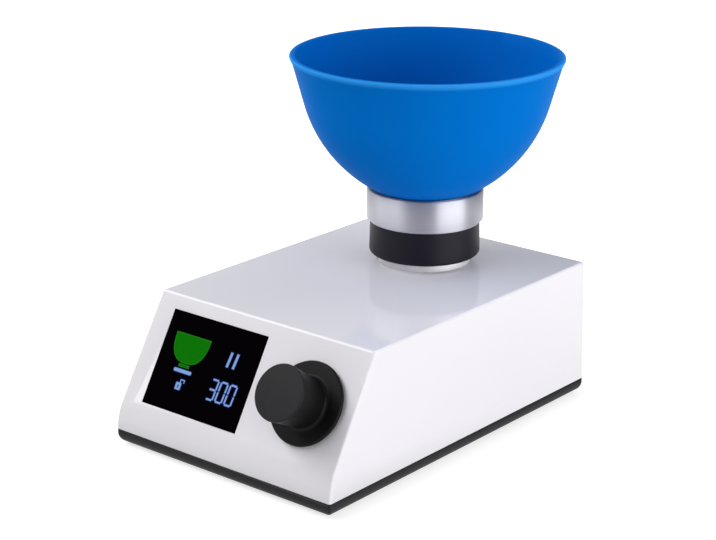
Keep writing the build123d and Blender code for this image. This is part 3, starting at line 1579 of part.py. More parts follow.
with BuildPart() as terminal_blocks:
    with BuildSketch(Plane.XY.offset(board_top)):
        with Locations((-board_x, board_y + connector_y), (board_x, board_y + connector_y)):
            Rectangle(connector_length, connector_width)
    extrude(amount=connector_height)
finish(terminal_blocks.part, "terminal_blocks")


def lead(*points):
    """Round lead along straight runs that are joined by bends."""
    with BuildPart() as wire:
        with BuildLine():
            route = FilletPolyline(*points, radius=lead_bend)
        with BuildSketch(Plane(origin=route @ 0, z_dir=route % 0)):
            Circle(lead_radius)
        sweep()
    return wire.part


block_y = board_y + connector_y
block_back = block_y + connector_width / 2
block_z = board_top + connector_height / 2
motor_block_x = board_x - connector_length / 2
with BuildPart() as inner_leads:
    # from the inlet's two outer tabs down to the power board's terminal block
    for side in (-1, 1):
        tab = rear.from_local_coords(
            (inlet_u + side * inlet_pin_spacing, fittings_v - inlet_pin_offset, tab_end - thread_gap)
        )
        block_x = -board_x - side * connector_length / 4
        add(
            lead(
                tab,
                (tab.X, tab.Y - lead_drop, tab.Z),
                (block_x, tab.Y - lead_drop, block_z),
                (block_x, block_back, block_z),
            )
        )
    # from the motor's can to the motor board's terminal block
    for side, start_y in zip((-1, 1), motor_lead_starts):
        run_x = motor_block_x - motor_lead_gap - side * motor_lead_pitch
        end_y = block_y + side * motor_lead_end
        add(
            lead(
                (motor_radius - motor_wall + lead_gap, start_y, motor_lead_z),
                (run_x, start_y, motor_lead_z),
                (run_x, end_y, motor_lead_z),
                (motor_block_x, end_y, motor_lead_z),
            )
        )
finish(inner_leads.part, "inner_leads")
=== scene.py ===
# %% [markdown]
# # A bench mixer for dental impression paste
#
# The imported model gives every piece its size, place and motion. This script gives the pieces
# their looks: finishes, the lit signs of the display, and smoother meshes for the turned and
# moulded parts that catch the light. The machine stands on a white floor under three soft
# lamps.
#
# A few values come first. The model is in metres, and millimetres read better for a machine
# of this size, so `MM` turns one into the other.

# %% Loading the machine
import json
import math

import bmesh
import bpy
from mathutils import Matrix, Vector

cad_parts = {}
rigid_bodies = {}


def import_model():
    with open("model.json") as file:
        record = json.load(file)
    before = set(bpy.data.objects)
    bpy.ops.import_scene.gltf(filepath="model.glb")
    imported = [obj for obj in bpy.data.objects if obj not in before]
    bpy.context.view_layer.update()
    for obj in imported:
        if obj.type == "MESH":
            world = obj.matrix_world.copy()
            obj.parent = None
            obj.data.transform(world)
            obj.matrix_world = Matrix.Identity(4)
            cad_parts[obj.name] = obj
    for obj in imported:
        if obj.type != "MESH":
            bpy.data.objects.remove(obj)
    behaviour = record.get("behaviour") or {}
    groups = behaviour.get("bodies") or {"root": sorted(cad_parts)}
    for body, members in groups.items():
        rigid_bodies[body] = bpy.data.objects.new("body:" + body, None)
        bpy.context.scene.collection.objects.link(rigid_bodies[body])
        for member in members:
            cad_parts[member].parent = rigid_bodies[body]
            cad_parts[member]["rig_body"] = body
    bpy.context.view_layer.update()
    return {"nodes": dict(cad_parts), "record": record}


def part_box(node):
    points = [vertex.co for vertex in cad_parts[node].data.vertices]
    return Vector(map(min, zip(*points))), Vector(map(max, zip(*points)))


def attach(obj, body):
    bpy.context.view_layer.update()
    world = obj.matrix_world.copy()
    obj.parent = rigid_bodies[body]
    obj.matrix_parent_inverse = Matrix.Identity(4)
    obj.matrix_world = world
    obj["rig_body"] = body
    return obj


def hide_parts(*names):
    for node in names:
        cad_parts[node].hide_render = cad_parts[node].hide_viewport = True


MM = 0.001
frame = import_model()
nodes = frame["nodes"]

# %% [markdown]
# ## Camera
#
# The camera stands to the right of the machine's front and looks down on it. Its place and its
# three angles were worked out from straight edges of the casing, so the render can be laid
# over the photograph. Yaw turns it round the machine, pitch tips it down, and roll is the
# small tilt that a hand leaves.

# %% Camera
CAMERA_PLACE = Vector((558.4, -682.7, 367.2)) * MM
CAMERA_YAW = math.radians(39.474)
CAMERA_PITCH = math.radians(18.457)
CAMERA_ROLL = math.radians(0.298)
CAMERA_LENS = 99.94

camera_data = bpy.data.cameras.new("camera")
camera_data.lens = CAMERA_LENS
camera_data.clip_start = 0.01
camera = bpy.data.objects.new("camera", camera_data)
bpy.context.scene.collection.objects.link(camera)
bpy.context.scene.camera = camera

turn = Matrix.Rotation(CAMERA_YAW, 4, "Z")
tip = Matrix.Rotation(math.pi / 2 - CAMERA_PITCH, 4, "X")
roll = Matrix.Rotation(CAMERA_ROLL, 4, "Z")
camera.matrix_world = Matrix.Translation(CAMERA_PLACE) @ turn @ tip @ roll
print("camera looks along", [round(x, 3) for x in camera.matrix_world.col[2].xyz * -1])

# %% [markdown]
# ## Light
#
# Three large soft lamps light the machine. The one on the right is nearly level with the side
# wall, which makes that wall the brightest. The one at the front left reaches the slope and
# lets the knob throw its shadow down to the right. It hangs above the line that glossy paint
# would mirror into the camera, so the slope and the black window show no white patch. Both
# are over a metre wide: bright metal shows each as a wide upright band, with the darker
# room between the two. A weak one at the back opens the shade behind the hub.

# %% Lamps
TARGET = Vector((0, 0.02, 0.06))


def soft_lamp(name, azimuth, height, distance, width, tall, power):
    """Rectangular lamp that faces the machine; azimuth 0 is in front, 90 on the right."""
    lamp = bpy.data.lights.new(name, "AREA")
    lamp.shape = "RECTANGLE"
    lamp.size = width
    lamp.size_y = tall
    lamp.energy = power
    holder = bpy.data.objects.new(name, lamp)
    bpy.context.scene.collection.objects.link(holder)
    angle = math.radians(azimuth)
    holder.location = TARGET + Vector(
        (math.sin(angle) * distance, -math.cos(angle) * distance, height)
    )
    toward = TARGET - holder.location
    holder.rotation_euler = toward.to_track_quat("-Z", "Y").to_euler()
    return holder


soft_lamp("side_softbox", azimuth=91, height=0.10, distance=1.0, width=1.1, tall=0.7, power=10.6)
soft_lamp("front_softbox", azimuth=-50, height=0.90, distance=0.90, width=1.5, tall=0.7, power=13.2)
soft_lamp("rear_softbox", azimuth=165, height=0.90, distance=0.80, width=1.0, tall=0.6, power=3.6)
print("lamps:", [lamp.name for lamp in bpy.data.lights])

# %% [markdown]
# ## Materials as short expressions
#
# A material in Blender is a graph of nodes. Written out link by link it is long, so two small
# classes help. `Signal` wraps a node's socket, and `+` and `*` on it add Math nodes: sums of
# patterns then read as sums. `Finish` wraps a material. Its `node` method makes any node from
# its type, its settings and the values or links of its sockets. Fixed values are written
# straight on the shader, and only what varies over a surface gets a link.


# %% Shader helpers
class Signal:
    """A node's output; arithmetic on it adds Math nodes."""

    def __init__(self, tree, socket):
        self.tree = tree
        self.socket = socket

    def math(self, operation, *values):
        return add_node(
            self.tree, "ShaderNodeMath", {"operation": operation}, dict(enumerate(values))
        )

    def __add__(self, other):
        return self.math("ADD", self, other)

    def __radd__(self, other):
        return self.math("ADD", other, self)

    def __mul__(self, other):
        return self.math("MULTIPLY", self, other)

    def __rmul__(self, other):
        return self.math("MULTIPLY", other, self)


def add_node(tree, kind, settings=None, inputs=None, output=0):
    """One node with its settings, then the values or links of its sockets."""
    made = tree.nodes.new(kind)
    for name, value in (settings or {}).items():
        if name == "stops":
            for stop, (place, colour) in zip(made.color_ramp.elements, value):
                stop.position = place
                stop.color = colour
        else:
            setattr(made, name, value)
    for name, value in (inputs or {}).items():
        if isinstance(value, Signal):
            tree.links.new(value.socket, made.inputs[name])
        else:
            made.inputs[name].default_value = value
    return Signal(tree, made.outputs[output])


class Finish:
    """A material: fixed values go straight on the shader, patterns are linked to it."""

    def __init__(self, name, **values):
        self.material = bpy.data.materials.new(name)
        self.material.use_nodes = True
        self.tree = self.material.node_tree
        self.shader = self.tree.nodes["Principled BSDF"]
        self.set(**values)

    def set(self, **values):
        for name, value in values.items():
            socket = self.shader.inputs[name.replace("_", " ").title().replace("Ior", "IOR")]
            if isinstance(value, Signal):
                self.tree.links.new(value.socket, socket)
            else:
                socket.default_value = value
        return self

    def node(self, kind, settings=None, inputs=None, output=0):
        return add_node(self.tree, kind, settings, inputs, output)

    def place(self, *scales):
        """Object coordinates, stretched by a factor along each axis."""
        where = self.node("ShaderNodeTexCoord", output="Object")
        return self.node("ShaderNodeMapping", inputs={"Vector": where, "Scale": scales})

    def noise(self, scale, detail, place=None):
        """Soft cloudy pattern; scale counts its blotches in a metre."""
        where = place or self.place(1, 1, 1)
        return self.node(
            "ShaderNodeTexNoise", inputs={"Vector": where, "Scale": scale, "Detail": detail}
        )

    def bump(self, height, depth):
        """Surface relief of a depth in metres."""
        return self.node(
            "ShaderNodeBump", inputs={"Height": height, "Distance": depth, "Strength": 1.0}
        )

    def tint(self, amount, first, second):
        """Colour between two, by a 0 to 1 signal."""
        return self.node(
            "ShaderNodeMix", {"data_type": "RGBA"}, {0: amount, 6: first, 7: second}, output=2
        )

    def dot(self, first, second):
        """How far one vector reaches along another."""
        settings = {"operation": "DOT_PRODUCT"}
        return self.node("ShaderNodeVectorMath", settings, {0: first, 1: second}, "Value")

    def ease(self, amount, start, end, low=0.0, high=1.0, curve="LINEAR"):
        """Goes from low to high while a signal goes from start to end."""
        sockets = {"From Min": start, "From Max": end, "To Min": low, "To Max": high}
        settings = {"interpolation_type": curve}
        return self.node("ShaderNodeMapRange", settings, {"Value": amount, **sockets})


def srgb(red, green, blue):
    """Colour as a picture editor shows it, from 0 to 255, turned into the linear one."""
    linear = [
        (c / 255 / 12.92) if c <= 10 else ((c / 255 + 0.055) / 1.055) ** 2.4
        for c in (red, green, blue)
    ]
    return (*linear, 1.0)


def speckled(name, scale, detail, dark, light, **values):
    """Finish whose colour wanders between two, in specks of one size."""
    finish = Finish(name, **values)
    specks = finish.noise(scale, detail)
    return finish.set(Base_Color=finish.tint(specks, srgb(*dark), srgb(*light))), specks


# %% [markdown]
# ## The room
#
# The world is a plain studio: white at floor level, where the paper sweep stands, and grey
# from there to the ceiling. Two sides of the room are darker, the one where the photographer
# stands and the one behind the machine, because turned metal only looks like metal when it
# has something dark to mirror. Diffuse rays get a lower level from it than rays that end in
# the eye or in a mirror: the background stays white while the lamps do the lighting.

# %% Room
ROOM_LIGHT = 0.85
GREY_BY_HEIGHT = ((0.06, 1.0), (0.20, 0.36))
DARK_SIDES = ((39, 0.82), (168, 0.70))
DARKEST = (0.97, 0.30)
SEEN_RAYS = ("Is Camera Ray", "Is Glossy Ray", "Is Transmission Ray")


def ramp(tree, stops, amount):
    """Grey that changes with a signal, through stops of (place, level)."""
    colours = [(place, (level, level, level, 1)) for place, level in stops]
    return add_node(tree, "ShaderNodeValToRGB", {"stops": colours}, {0: amount})


def seen_directly(tree):
    """1 for a ray that comes from the eye, a mirror or glass, and 0 for the others."""
    eye, mirror, glass = [add_node(tree, "ShaderNodeLightPath", output=ray) for ray in SEEN_RAYS]
    return eye + mirror + glass


world = bpy.data.worlds.new("studio")
bpy.context.scene.world = world
world.use_nodes = True
room = world.node_tree
direction = add_node(room, "ShaderNodeTexCoord", output="Generated")
upness = add_node(room, "ShaderNodeSeparateXYZ", inputs={0: direction}, output="Z")
shade_of_room = ramp(room, GREY_BY_HEIGHT, upness)
for azimuth, width in DARK_SIDES:
    angle = math.radians(azimuth)
    facing = add_node(
        room,
        "ShaderNodeVectorMath",
        {"operation": "DOT_PRODUCT"},
        {0: direction, 1: (math.sin(angle), -math.cos(angle), 0)},
        output="Value",
    )
    shade_of_room = shade_of_room * ramp(room, ((width, 1.0), DARKEST), facing)
background = room.nodes["Background"]
room.links.new(shade_of_room.socket, background.inputs["Color"])
room_strength = ROOM_LIGHT + seen_directly(room) * (1 - ROOM_LIGHT)
room.links.new(room_strength.socket, background.inputs["Strength"])
print("room nodes:", len(room.nodes))

# %% [markdown]
# ## The floor
#
# The floor is one large white square. A ray from the camera, from metal or from glass gets
# extra light from it, which makes the open floor pure white. The lift is a little lower
# close to the machine, so its soft shadow can still be seen there.

# %% Floor
FLOOR_SIZE = 12.0
FLOOR_GREY = 0.48
FLOOR_LIFT = (0.70, 1.0)
LIFT_REACH = (0.12, 0.42)

bm = bmesh.new()
bmesh.ops.create_grid(bm, x_segments=1, y_segments=1, size=FLOOR_SIZE / 2)
floor_mesh = bpy.data.meshes.new("floor")
bm.to_mesh(floor_mesh)
bm.free()
floor = bpy.data.objects.new("floor", floor_mesh)
bpy.context.scene.collection.objects.link(floor)

floor_finish = Finish("floor_white", Base_Color=(FLOOR_GREY,) * 3 + (1,), Roughness=0.9)
floor_finish.set(Specular_IOR_Level=0.0, Emission_Color=(1, 1, 1, 1))
reach = floor_finish.node(
    "ShaderNodeVectorMath",
    {"operation": "LENGTH"},
    {0: floor_finish.place(1, 1, 1)},
    output="Value",
)
lift = floor_finish.ease(reach, *LIFT_REACH, *FLOOR_LIFT, curve="SMOOTHSTEP")
floor_finish.set(Emission_Strength=seen_directly(floor_finish.tree) * lift)
floor_mesh.materials.append(floor_finish.material)
print("floor square, m:", FLOOR_SIZE)

# %% [markdown]
# ## Turned and moulded surfaces
#
# A CAD node arrives as separate triangles, so a curved wall looks faceted. `smoothed` copies
# the node, welds the copy and shades it smooth except at real edges. On a part with large
# flat faces and small rounds, the weighted normals keep the flats flat. A turned part has no
# use for them: its long thin triangles would make them waver.


# %% Helpers for pieces
SHARP_FROM = math.radians(32)
WELD_REACH = 0.001 * MM


def add_piece(name, mesh, finish, body, stands_for=()):
    """Puts a finished mesh into the scene, on the body that carries it."""
    piece = bpy.data.objects.new(name, mesh)
    bpy.context.scene.collection.objects.link(piece)
    mesh.materials.clear()
    mesh.materials.append(finish.material)
    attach(piece, body)
    if stands_for:
        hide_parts(*stands_for)
    print(name, "has", len(mesh.polygons), "faces and rides on", body)
    return piece


def shade(mesh):
    """Smooth shading, apart from real edges."""
    mesh.polygons.foreach_set("use_smooth", [True] * len(mesh.polygons))
    mesh.set_sharp_from_angle(angle=SHARP_FROM)


def smoothed(node, name, finish, turned=False):
    """A welded, smooth copy of a CAD node that stands for it."""
    bm = bmesh.new()
    bm.from_mesh(nodes[node].data)
    bmesh.ops.remove_doubles(bm, verts=bm.verts, dist=WELD_REACH)
    mesh = bpy.data.meshes.new(name)
    bm.to_mesh(mesh)
    bm.free()
    shade(mesh)
    piece = add_piece(name, mesh, finish, nodes[node]["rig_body"], (node,))
    if not turned:
        weighted = piece.modifiers.new("flat_faces", "WEIGHTED_NORMAL")
        weighted.keep_sharp = True
    return piece


slot_of = {s["node"]: s["material_slot"] for s in frame["record"]["subparts"]}

# %% [markdown]
# ## The casing's paint
#
# The cover is painted a cool light grey and lacquered. The colour layer scatters the light,
# and a clear coat on top gives the sharp, faint mirror image of the hub and holder that shows
# in the roof. Very shallow waves in the coat are the orange peel of any sprayed part.

# %% Cover
paint = Finish("cover_lacquer", Roughness=0.5, Coat_Weight=0.9, Coat_Roughness=0.05)
paint.set(Coat_IOR=1.45, Specular_IOR_Level=0.25)
cloud = paint.noise(scale=9, detail=3)
paint.set(Base_Color=paint.tint(cloud, srgb(230, 228, 234), srgb(235, 233, 238)))
peel = paint.noise(scale=420, detail=1)
paint.set(Normal=paint.bump(peel, depth=0.002 * MM))
smoothed("top_cover", "cover", paint)

# %% [markdown]
# ## The base
#
# The tray under the cover is black moulded plastic with a fine spark-eroded grain, so it
# has no sharp highlights. The rounded lower edge still catches a paler line from the floor.
# A fine noise serves both as specks of colour and as the grain's relief. The four feet are
# rubber: the same recipe, but softer and with no shine.

# %% Base
grain_black, grains = speckled(
    "base_plastic", 1600, 2, (16, 16, 18), (34, 34, 37), Roughness=0.5, Specular_IOR_Level=0.2
)
grain_black.set(Normal=grain_black.bump(grains, depth=0.02 * MM))
smoothed("base_tray", "base", grain_black)

rubber, crumbs = speckled("foot_rubber", 900, 3, (22, 22, 22), (38, 38, 38), Roughness=0.75)
rubber.set(Normal=rubber.bump(crumbs, depth=0.03 * MM))
smoothed("rubber_feet", "feet", rubber)

# %% [markdown]
# ## The display
#
# Behind the flush black window sits a lit liquid-crystal panel. Its signs are thin bright
# shapes: a bowl on its stand, a padlock, two pause bars and the figure 300 in seven-segment
# strokes. Each sign is cut from flat shapes on the window's own plane, so they lie exactly on
# the slope. The window's box gives the middle of the slab, and half its thickness along the
# slope's normal leads to its outer face.

# %% The slope's plane
SLOPE_SETBACK = 31.2
SLOPE_RISE = 52.74
WINDOW_THICKNESS = 2.0 * MM
SIGN_LIFT = 0.02 * MM
SIGN_THICKNESS = 0.03 * MM

lean = math.atan2(SLOPE_SETBACK, SLOPE_RISE)
slope_turn = Matrix.Rotation(math.pi / 2 - lean, 4, "X")
window_low, window_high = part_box("display_window")
window_middle = (window_low + window_high) / 2
slope_normal = slope_turn.to_3x3() @ Vector((0, 0, 1))
window_face = window_middle + slope_normal * (WINDOW_THICKNESS / 2 + SIGN_LIFT)
ON_WINDOW = Matrix.Translation(window_face) @ slope_turn
print("slope leans back", round(math.degrees(lean), 2), "degrees")

glass = Finish("window_black", Base_Color=srgb(3, 1, 3), Specular_IOR_Level=0.015)
wipe_marks = glass.noise(scale=60, detail=2)
glass.set(Roughness=0.05 + wipe_marks * 0.04)
smoothed("display_window", "window", glass)


# %% [markdown]
# ## Signs that glow
#
# Each sign gives off light, so its finish is emission alone. The panel behind it is not
# perfectly sharp: a thin halo of deep blue surrounds every bright stroke. The halo is the
# same sign once more, drawn a little wider, darker and just behind. Straight strokes are
# bars, listed with their two ends, their width, how much of the corners is cut back, and
# which ends grow when the halo is drawn. All places are in millimetres on the window.

# %% Signs
HALO = 0.75
DIM_SHARE = 0.82
CORNER_STEPS = 3


def lit(name, colour):
    """Finish of a glowing sign, slightly uneven as a liquid-crystal panel is."""
    finish = Finish(name, Base_Color=(0, 0, 0, 1), Roughness=0.6, Specular_IOR_Level=0.0)
    shimmer = finish.noise(scale=700, detail=2)
    dim = tuple(c * DIM_SHARE for c in colour[:3]) + (1.0,)
    return finish.set(Emission_Color=finish.tint(shimmer, dim, colour), Emission_Strength=1.0)


blue_light = lit("sign_blue", srgb(134, 168, 226))
halo_light = lit("sign_halo", srgb(14, 34, 92))
green_light = lit("sign_green", srgb(16, 118, 10))
green_edge = lit("sign_green_edge", srgb(34, 124, 24))


def bar(bm, start, end, width, point=0.0):
    """Flat bar between two points of the window, its corners cut back by a share of its width."""
    start, end = Vector(start), Vector(end)
    along = end - start
    made = bmesh.ops.create_grid(bm, x_segments=1, y_segments=1, size=0.5)["verts"]
    bmesh.ops.scale(bm, verts=made, vec=(along.length, width, 1))
    spin = Matrix.Rotation(math.atan2(along.y, along.x), 3, "Z")
    bmesh.ops.rotate(bm, verts=made, cent=(0, 0, 0), matrix=spin)
    bmesh.ops.translate(bm, verts=made, vec=((start + end) / 2).to_3d())
    if point:
        bmesh.ops.bevel(
            bm,
            geom=made,
            offset=width * point,
            affect="VERTICES",
            segments=CORNER_STEPS,
            profile=0.5,
            material=-1,
        )


def draw_bars(bm, table, extra):
    """A sign made of bars; an end marked 1 grows by half of extra."""
    for start, end, width, point, (start_grows, end_grows) in table:
        start, end = Vector(start), Vector(end)
        more = (end - start).normalized() * extra / 2
        bar(bm, start - more * start_grows, end + more * end_grows, width + extra, point)


def sign(name, bm, finish, lift=SIGN_LIFT):
    """Turns flat shapes, drawn in millimetres, into a thin plate on the window."""
    bmesh.ops.recalc_face_normals(bm, faces=bm.faces)
    for face in bm.faces:
        if face.normal.z < 0:
            face.normal_flip()
    bmesh.ops.solidify(bm, geom=bm.faces, thickness=-SIGN_THICKNESS / MM)
    bmesh.ops.scale(bm, verts=bm.verts, vec=(MM, MM, MM))
    bmesh.ops.translate(bm, verts=bm.verts, vec=(0, 0, lift))
    bmesh.ops.transform(bm, verts=bm.verts, matrix=ON_WINDOW)
    mesh = bpy.data.meshes.new(name)
    bm.to_mesh(mesh)
    bm.free()
    return add_piece(name, mesh, finish, "casing")


def glowing(name, draw):
    """A sign and its halo; draw(bm, extra) draws the strokes, wider by extra."""
    for suffix, extra, finish, lift in (
        ("", 0.0, blue_light, 2 * SIGN_LIFT),
        ("_halo", HALO, halo_light, SIGN_LIFT / 2),
    ):
        bm = bmesh.new()
        draw(bm, extra)
        sign(name + suffix, bm, finish, lift)


# %% [markdown]
# ## Figures and pause bars
#
# A seven-segment figure is a frame of seven bars, and a figure is told by those that are lit.
# Short gaps part the bars, as on a real display. Leaning the whole figure is a shear: every
# point moves sideways by a share of its height. The two pause bars above are plain.

# %% Figures and pause bars
FIGURE_HEIGHT = 9.2
FIGURE_WIDTH = 3.8
FIGURE_PITCH = 5.5
FIGURE_STROKE = 0.85
FIGURE_GAP = 0.28
FIGURE_POINT = 0.3
FIGURE_START = (6.35, -12.0)
FIGURE_LEAN = 0.05
SEGMENTS = {
    "top": ((0, 2), (1, 2)),
    "middle": ((0, 1), (1, 1)),
    "bottom": ((0, 0), (1, 0)),
    "upper_left": ((0, 1), (0, 2)),
    "upper_right": ((1, 1), (1, 2)),
    "lower_left": ((0, 0), (0, 1)),
    "lower_right": ((1, 0), (1, 1)),
}
THREE = ("top", "middle", "bottom", "upper_right", "lower_right")
ZERO = ("top", "bottom", "upper_left", "upper_right", "lower_left", "lower_right")
PAUSE_SIGN = (
    ((11.8, 4.1), (12.35, 11.1), 1.35, 0, (1, 1)),
    ((15.5, 4.1), (16.05, 11.1), 1.35, 0, (1, 1)),
)


def draw_figures(bm, extra):
    for place, figure in enumerate((THREE, ZERO, ZERO)):
        for segment in figure:
            ends = [
                Vector((place * FIGURE_PITCH + column * FIGURE_WIDTH, row * FIGURE_HEIGHT / 2))
                for column, row in SEGMENTS[segment]
            ]
            gap = (ends[1] - ends[0]).normalized() * FIGURE_STROKE * FIGURE_GAP
            stroke = (ends[0] + gap, ends[1] - gap, FIGURE_STROKE, FIGURE_POINT, (1, 1))
            draw_bars(bm, (stroke,), extra)
    shear = Matrix.Identity(4)
    shear[0][1] = FIGURE_LEAN
    bmesh.ops.transform(bm, verts=bm.verts, matrix=shear)
    bmesh.ops.translate(bm, verts=bm.verts, vec=(*FIGURE_START, 0))


def draw_pause(bm, extra):
    draw_bars(bm, PAUSE_SIGN, extra)


glowing("sign_figures", draw_figures)
glowing("sign_pause", draw_pause)

# %% [markdown]
# ## Bowl, stand and padlock
#
# The bowl sign starts as a circle whose upper part is cut off by a plane. Raising the
# coordinates to a power makes its sides fuller, as on a deep bowl. A short neck joins it to
# the stand, which is a bar of the other colour, and an open padlock sits below. The bowl is
# drawn twice, the second time smaller and brighter, which leaves a dull green edge.

# %% Bowl, stand and padlock signs
BOWL_SIGN_MIDDLE = (-12.05, 13.2)
BOWL_SIGN_WIDTH = 21.4
BOWL_SIGN_DEPTH = 13.4
BOWL_SIGN_POWER = 0.80
BOWL_SIGN_EDGE = 0.5
BOWL_SIGN_CORNERS = 128
NECK_ENDS = (-15.4, -8.9)
NECK_HEIGHT = -1.25
NECK_WIDTH = 1.5
STAND_SIGN = (((-17.2, -3.7), (-6.5, -3.7), 1.6, 0.35, (1, 1)),)
PADLOCK_SIGN = (
    ((-13.1, -10.6), (-9.9, -10.6), 3.4, 0.12, (1, 1)),
    ((-10.9, -9.0), (-10.9, -7.7), 0.5, 0, (0, 1)),
    ((-11.15, -7.5), (-8.5, -7.5), 0.5, 0.3, (0, 1)),
    ((-8.75, -8.8), (-8.75, -7.6), 0.5, 0, (1, 0)),
)
KEYHOLE_SIGN = (((-11.5, -11.5), (-11.5, -9.9), 0.6, 0.3, (0, 0)),)


def draw_bowl(bm, less):
    bmesh.ops.create_circle(bm, cap_ends=True, segments=BOWL_SIGN_CORNERS, radius=1)
    cut = bm.verts[:] + bm.edges[:] + bm.faces[:]
    bmesh.ops.bisect_plane(bm, geom=cut, plane_co=(0, 0, 0), plane_no=(0, 1, 0), clear_outer=True)
    for vertex in bm.verts:
        vertex.co.x = math.copysign(abs(vertex.co.x) ** BOWL_SIGN_POWER, vertex.co.x)
        vertex.co.y = -(abs(vertex.co.y) ** BOWL_SIGN_POWER)
    size = (BOWL_SIGN_WIDTH / 2 - less, BOWL_SIGN_DEPTH - 2 * less, 1)
    bmesh.ops.scale(bm, verts=bm.verts, vec=size)
    middle_x, middle_y = BOWL_SIGN_MIDDLE
    bmesh.ops.translate(bm, verts=bm.verts, vec=(middle_x, middle_y - less, 0))
    neck_left, neck_right = NECK_ENDS
    neck = ((neck_left + less, NECK_HEIGHT), (neck_right - less, NECK_HEIGHT))
    bar(bm, *neck, NECK_WIDTH - less)


for name, less, finish, lift in (
    ("sign_bowl_edge", 0.0, green_edge, SIGN_LIFT),
    ("sign_bowl", BOWL_SIGN_EDGE, green_light, 2 * SIGN_LIFT),
):
    bm = bmesh.new()
    draw_bowl(bm, less)
    sign(name, bm, finish, lift)


def draw_stand(bm, extra):
    draw_bars(bm, STAND_SIGN, extra)


def draw_padlock(bm, extra):
    draw_bars(bm, PADLOCK_SIGN, extra)


glowing("sign_stand", draw_stand)
glowing("sign_padlock", draw_padlock)

bm = bmesh.new()
draw_bars(bm, KEYHOLE_SIGN, 0)
sign("sign_keyhole", bm, halo_light, 3 * SIGN_LIFT)

# %% [markdown]
# ## The knob
#
# The knob is one black moulding: a broad flange, a waist that widens towards a flat face, and
# a finely matt skin. The CAD solid has all of it, so a smooth copy is enough. The flat face is
# drawn a shade greyer than the rest: a painted sheen, for the light that the face catches. It is
# found by how far a point stands out along the slope's normal.

# %% Knob
# Painted sheen: the flat face is drawn greyer than the body, from these depths below it.
KNOB_SHEEN_FROM = 0.8 * MM
KNOB_SHEEN_FULL = 0.2 * MM

knob_black = Finish("knob_plastic", Roughness=0.45, Specular_IOR_Level=0.12)
fine = knob_black.noise(scale=2200, detail=2)
skin = knob_black.tint(fine, srgb(9, 9, 10), srgb(16, 16, 17))
# Painted sheen colour for the flat face.
face_sheen_colour = knob_black.tint(fine, srgb(34, 34, 36), srgb(44, 44, 46))
knob_face = max(vertex.co.dot(slope_normal) for vertex in nodes["knob"].data.vertices)
where = knob_black.node("ShaderNodeTexCoord", output="Object")
standing_out = knob_black.dot(where, slope_normal)
face_sheen_mask = knob_black.ease(standing_out, knob_face - KNOB_SHEEN_FROM, knob_face - KNOB_SHEEN_FULL)
knob_black.set(Base_Color=knob_black.tint(face_sheen_mask, skin, face_sheen_colour))
knob_black.set(Normal=knob_black.bump(fine, depth=0.008 * MM))
smoothed("knob", "control_knob", knob_black, turned=True)

# %% [markdown]
# ## Hub and holder
#
# The hub is black anodised metal. The holder above it is bare aluminium, turned on a lathe.
# The tool leaves grooves that run round it, so light spreads up and down: the two lamps show
# as upright bands. That is what the anisotropic value of the shader does. A fine ripple in
# height draws the grooves themselves. The collar under the hub is part of the bearing
# casting. It was bead blasted, so it is pale and soft with no bands at all.


# %% Turned metal
GROOVE_STRETCH = (18, 18, 5200)
QUARTER_TURN = 0.25
ROUGHNESS_SPAN = 0.08


def turned_finish(name, dark, light, roughness, spread, groove, **values):
    """Metal with lathe grooves round an upright axis."""
    finish = Finish(name, Anisotropic=spread, Anisotropic_Rotation=QUARTER_TURN, **values)
    rings = finish.noise(scale=1, detail=3, place=finish.place(*GROOVE_STRETCH))
    finish.set(Base_Color=finish.tint(rings, dark, light))
    finish.set(Roughness=roughness - ROUGHNESS_SPAN / 2 + rings * ROUGHNESS_SPAN)
    finish.set(Normal=finish.bump(rings, groove))
    return finish


aluminium = turned_finish(
    "turned_aluminium",
    srgb(190, 189, 197),
    srgb(206, 205, 213),
    roughness=0.48,
    spread=0.95,
    groove=0.003 * MM,
    Metallic=1.0,
)
anodised = turned_finish(
    "black_anodised",
    srgb(15, 12, 22),
    srgb(24, 21, 33),
    roughness=0.5,
    spread=0.6,
    groove=0.002 * MM,
    Specular_IOR_Level=0.18,
)
smoothed("bowl_holder", "holder", aluminium, turned=True)
smoothed("drive_hub", "hub", anodised, turned=True)

satin, blast = speckled(
    "satin_aluminium", 1400, 3, (222, 221, 228), (238, 237, 243), Metallic=0.35, Roughness=0.55
)
satin.set(Normal=satin.bump(blast, depth=0.006 * MM))
smoothed("bearing_bridge", "collar", satin, turned=True)

# %% [markdown]
# ## The bowl
#
# The bowl is soft blue silicone with a satin skin, thick at the lip. Two painted tones change its
# colour over the surface. The inside is drawn a deeper blue: painted shade, for the dimmer light
# that reaches into the bowl. The outer edge of the lip is drawn paler: a painted highlight, for
# the light that its upward face catches. Inside and outside are told apart by the surface
# itself: the product of its direction and its place from the axis is positive where it faces
# outwards and negative where it faces the axis. The lip is found by height.

# %% Bowl
# Painted highlight: heights of the paler band along the outer lip, and how strong it is.
LIP_HIGHLIGHT_BAND = (165.2 * MM, 166.8 * MM)
LIP_HIGHLIGHT_STRENGTH = 0.9
# Painted shade: where the surface faces the axis, the bowl is drawn a deeper blue.
INSIDE_SHADE_FROM_TO = (0.004, -0.010)
LIP_SIDE_FROM_TO = (0.008, 0.04)

rest_low, rest_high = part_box("mixing_bowl")
bowl_axis = (rest_low + rest_high) / 2
silicone = Finish("bowl_silicone", Specular_IOR_Level=0.01)
mottle = silicone.noise(scale=40, detail=3)
outside = silicone.tint(mottle, srgb(0, 110, 203), srgb(0, 116, 209))

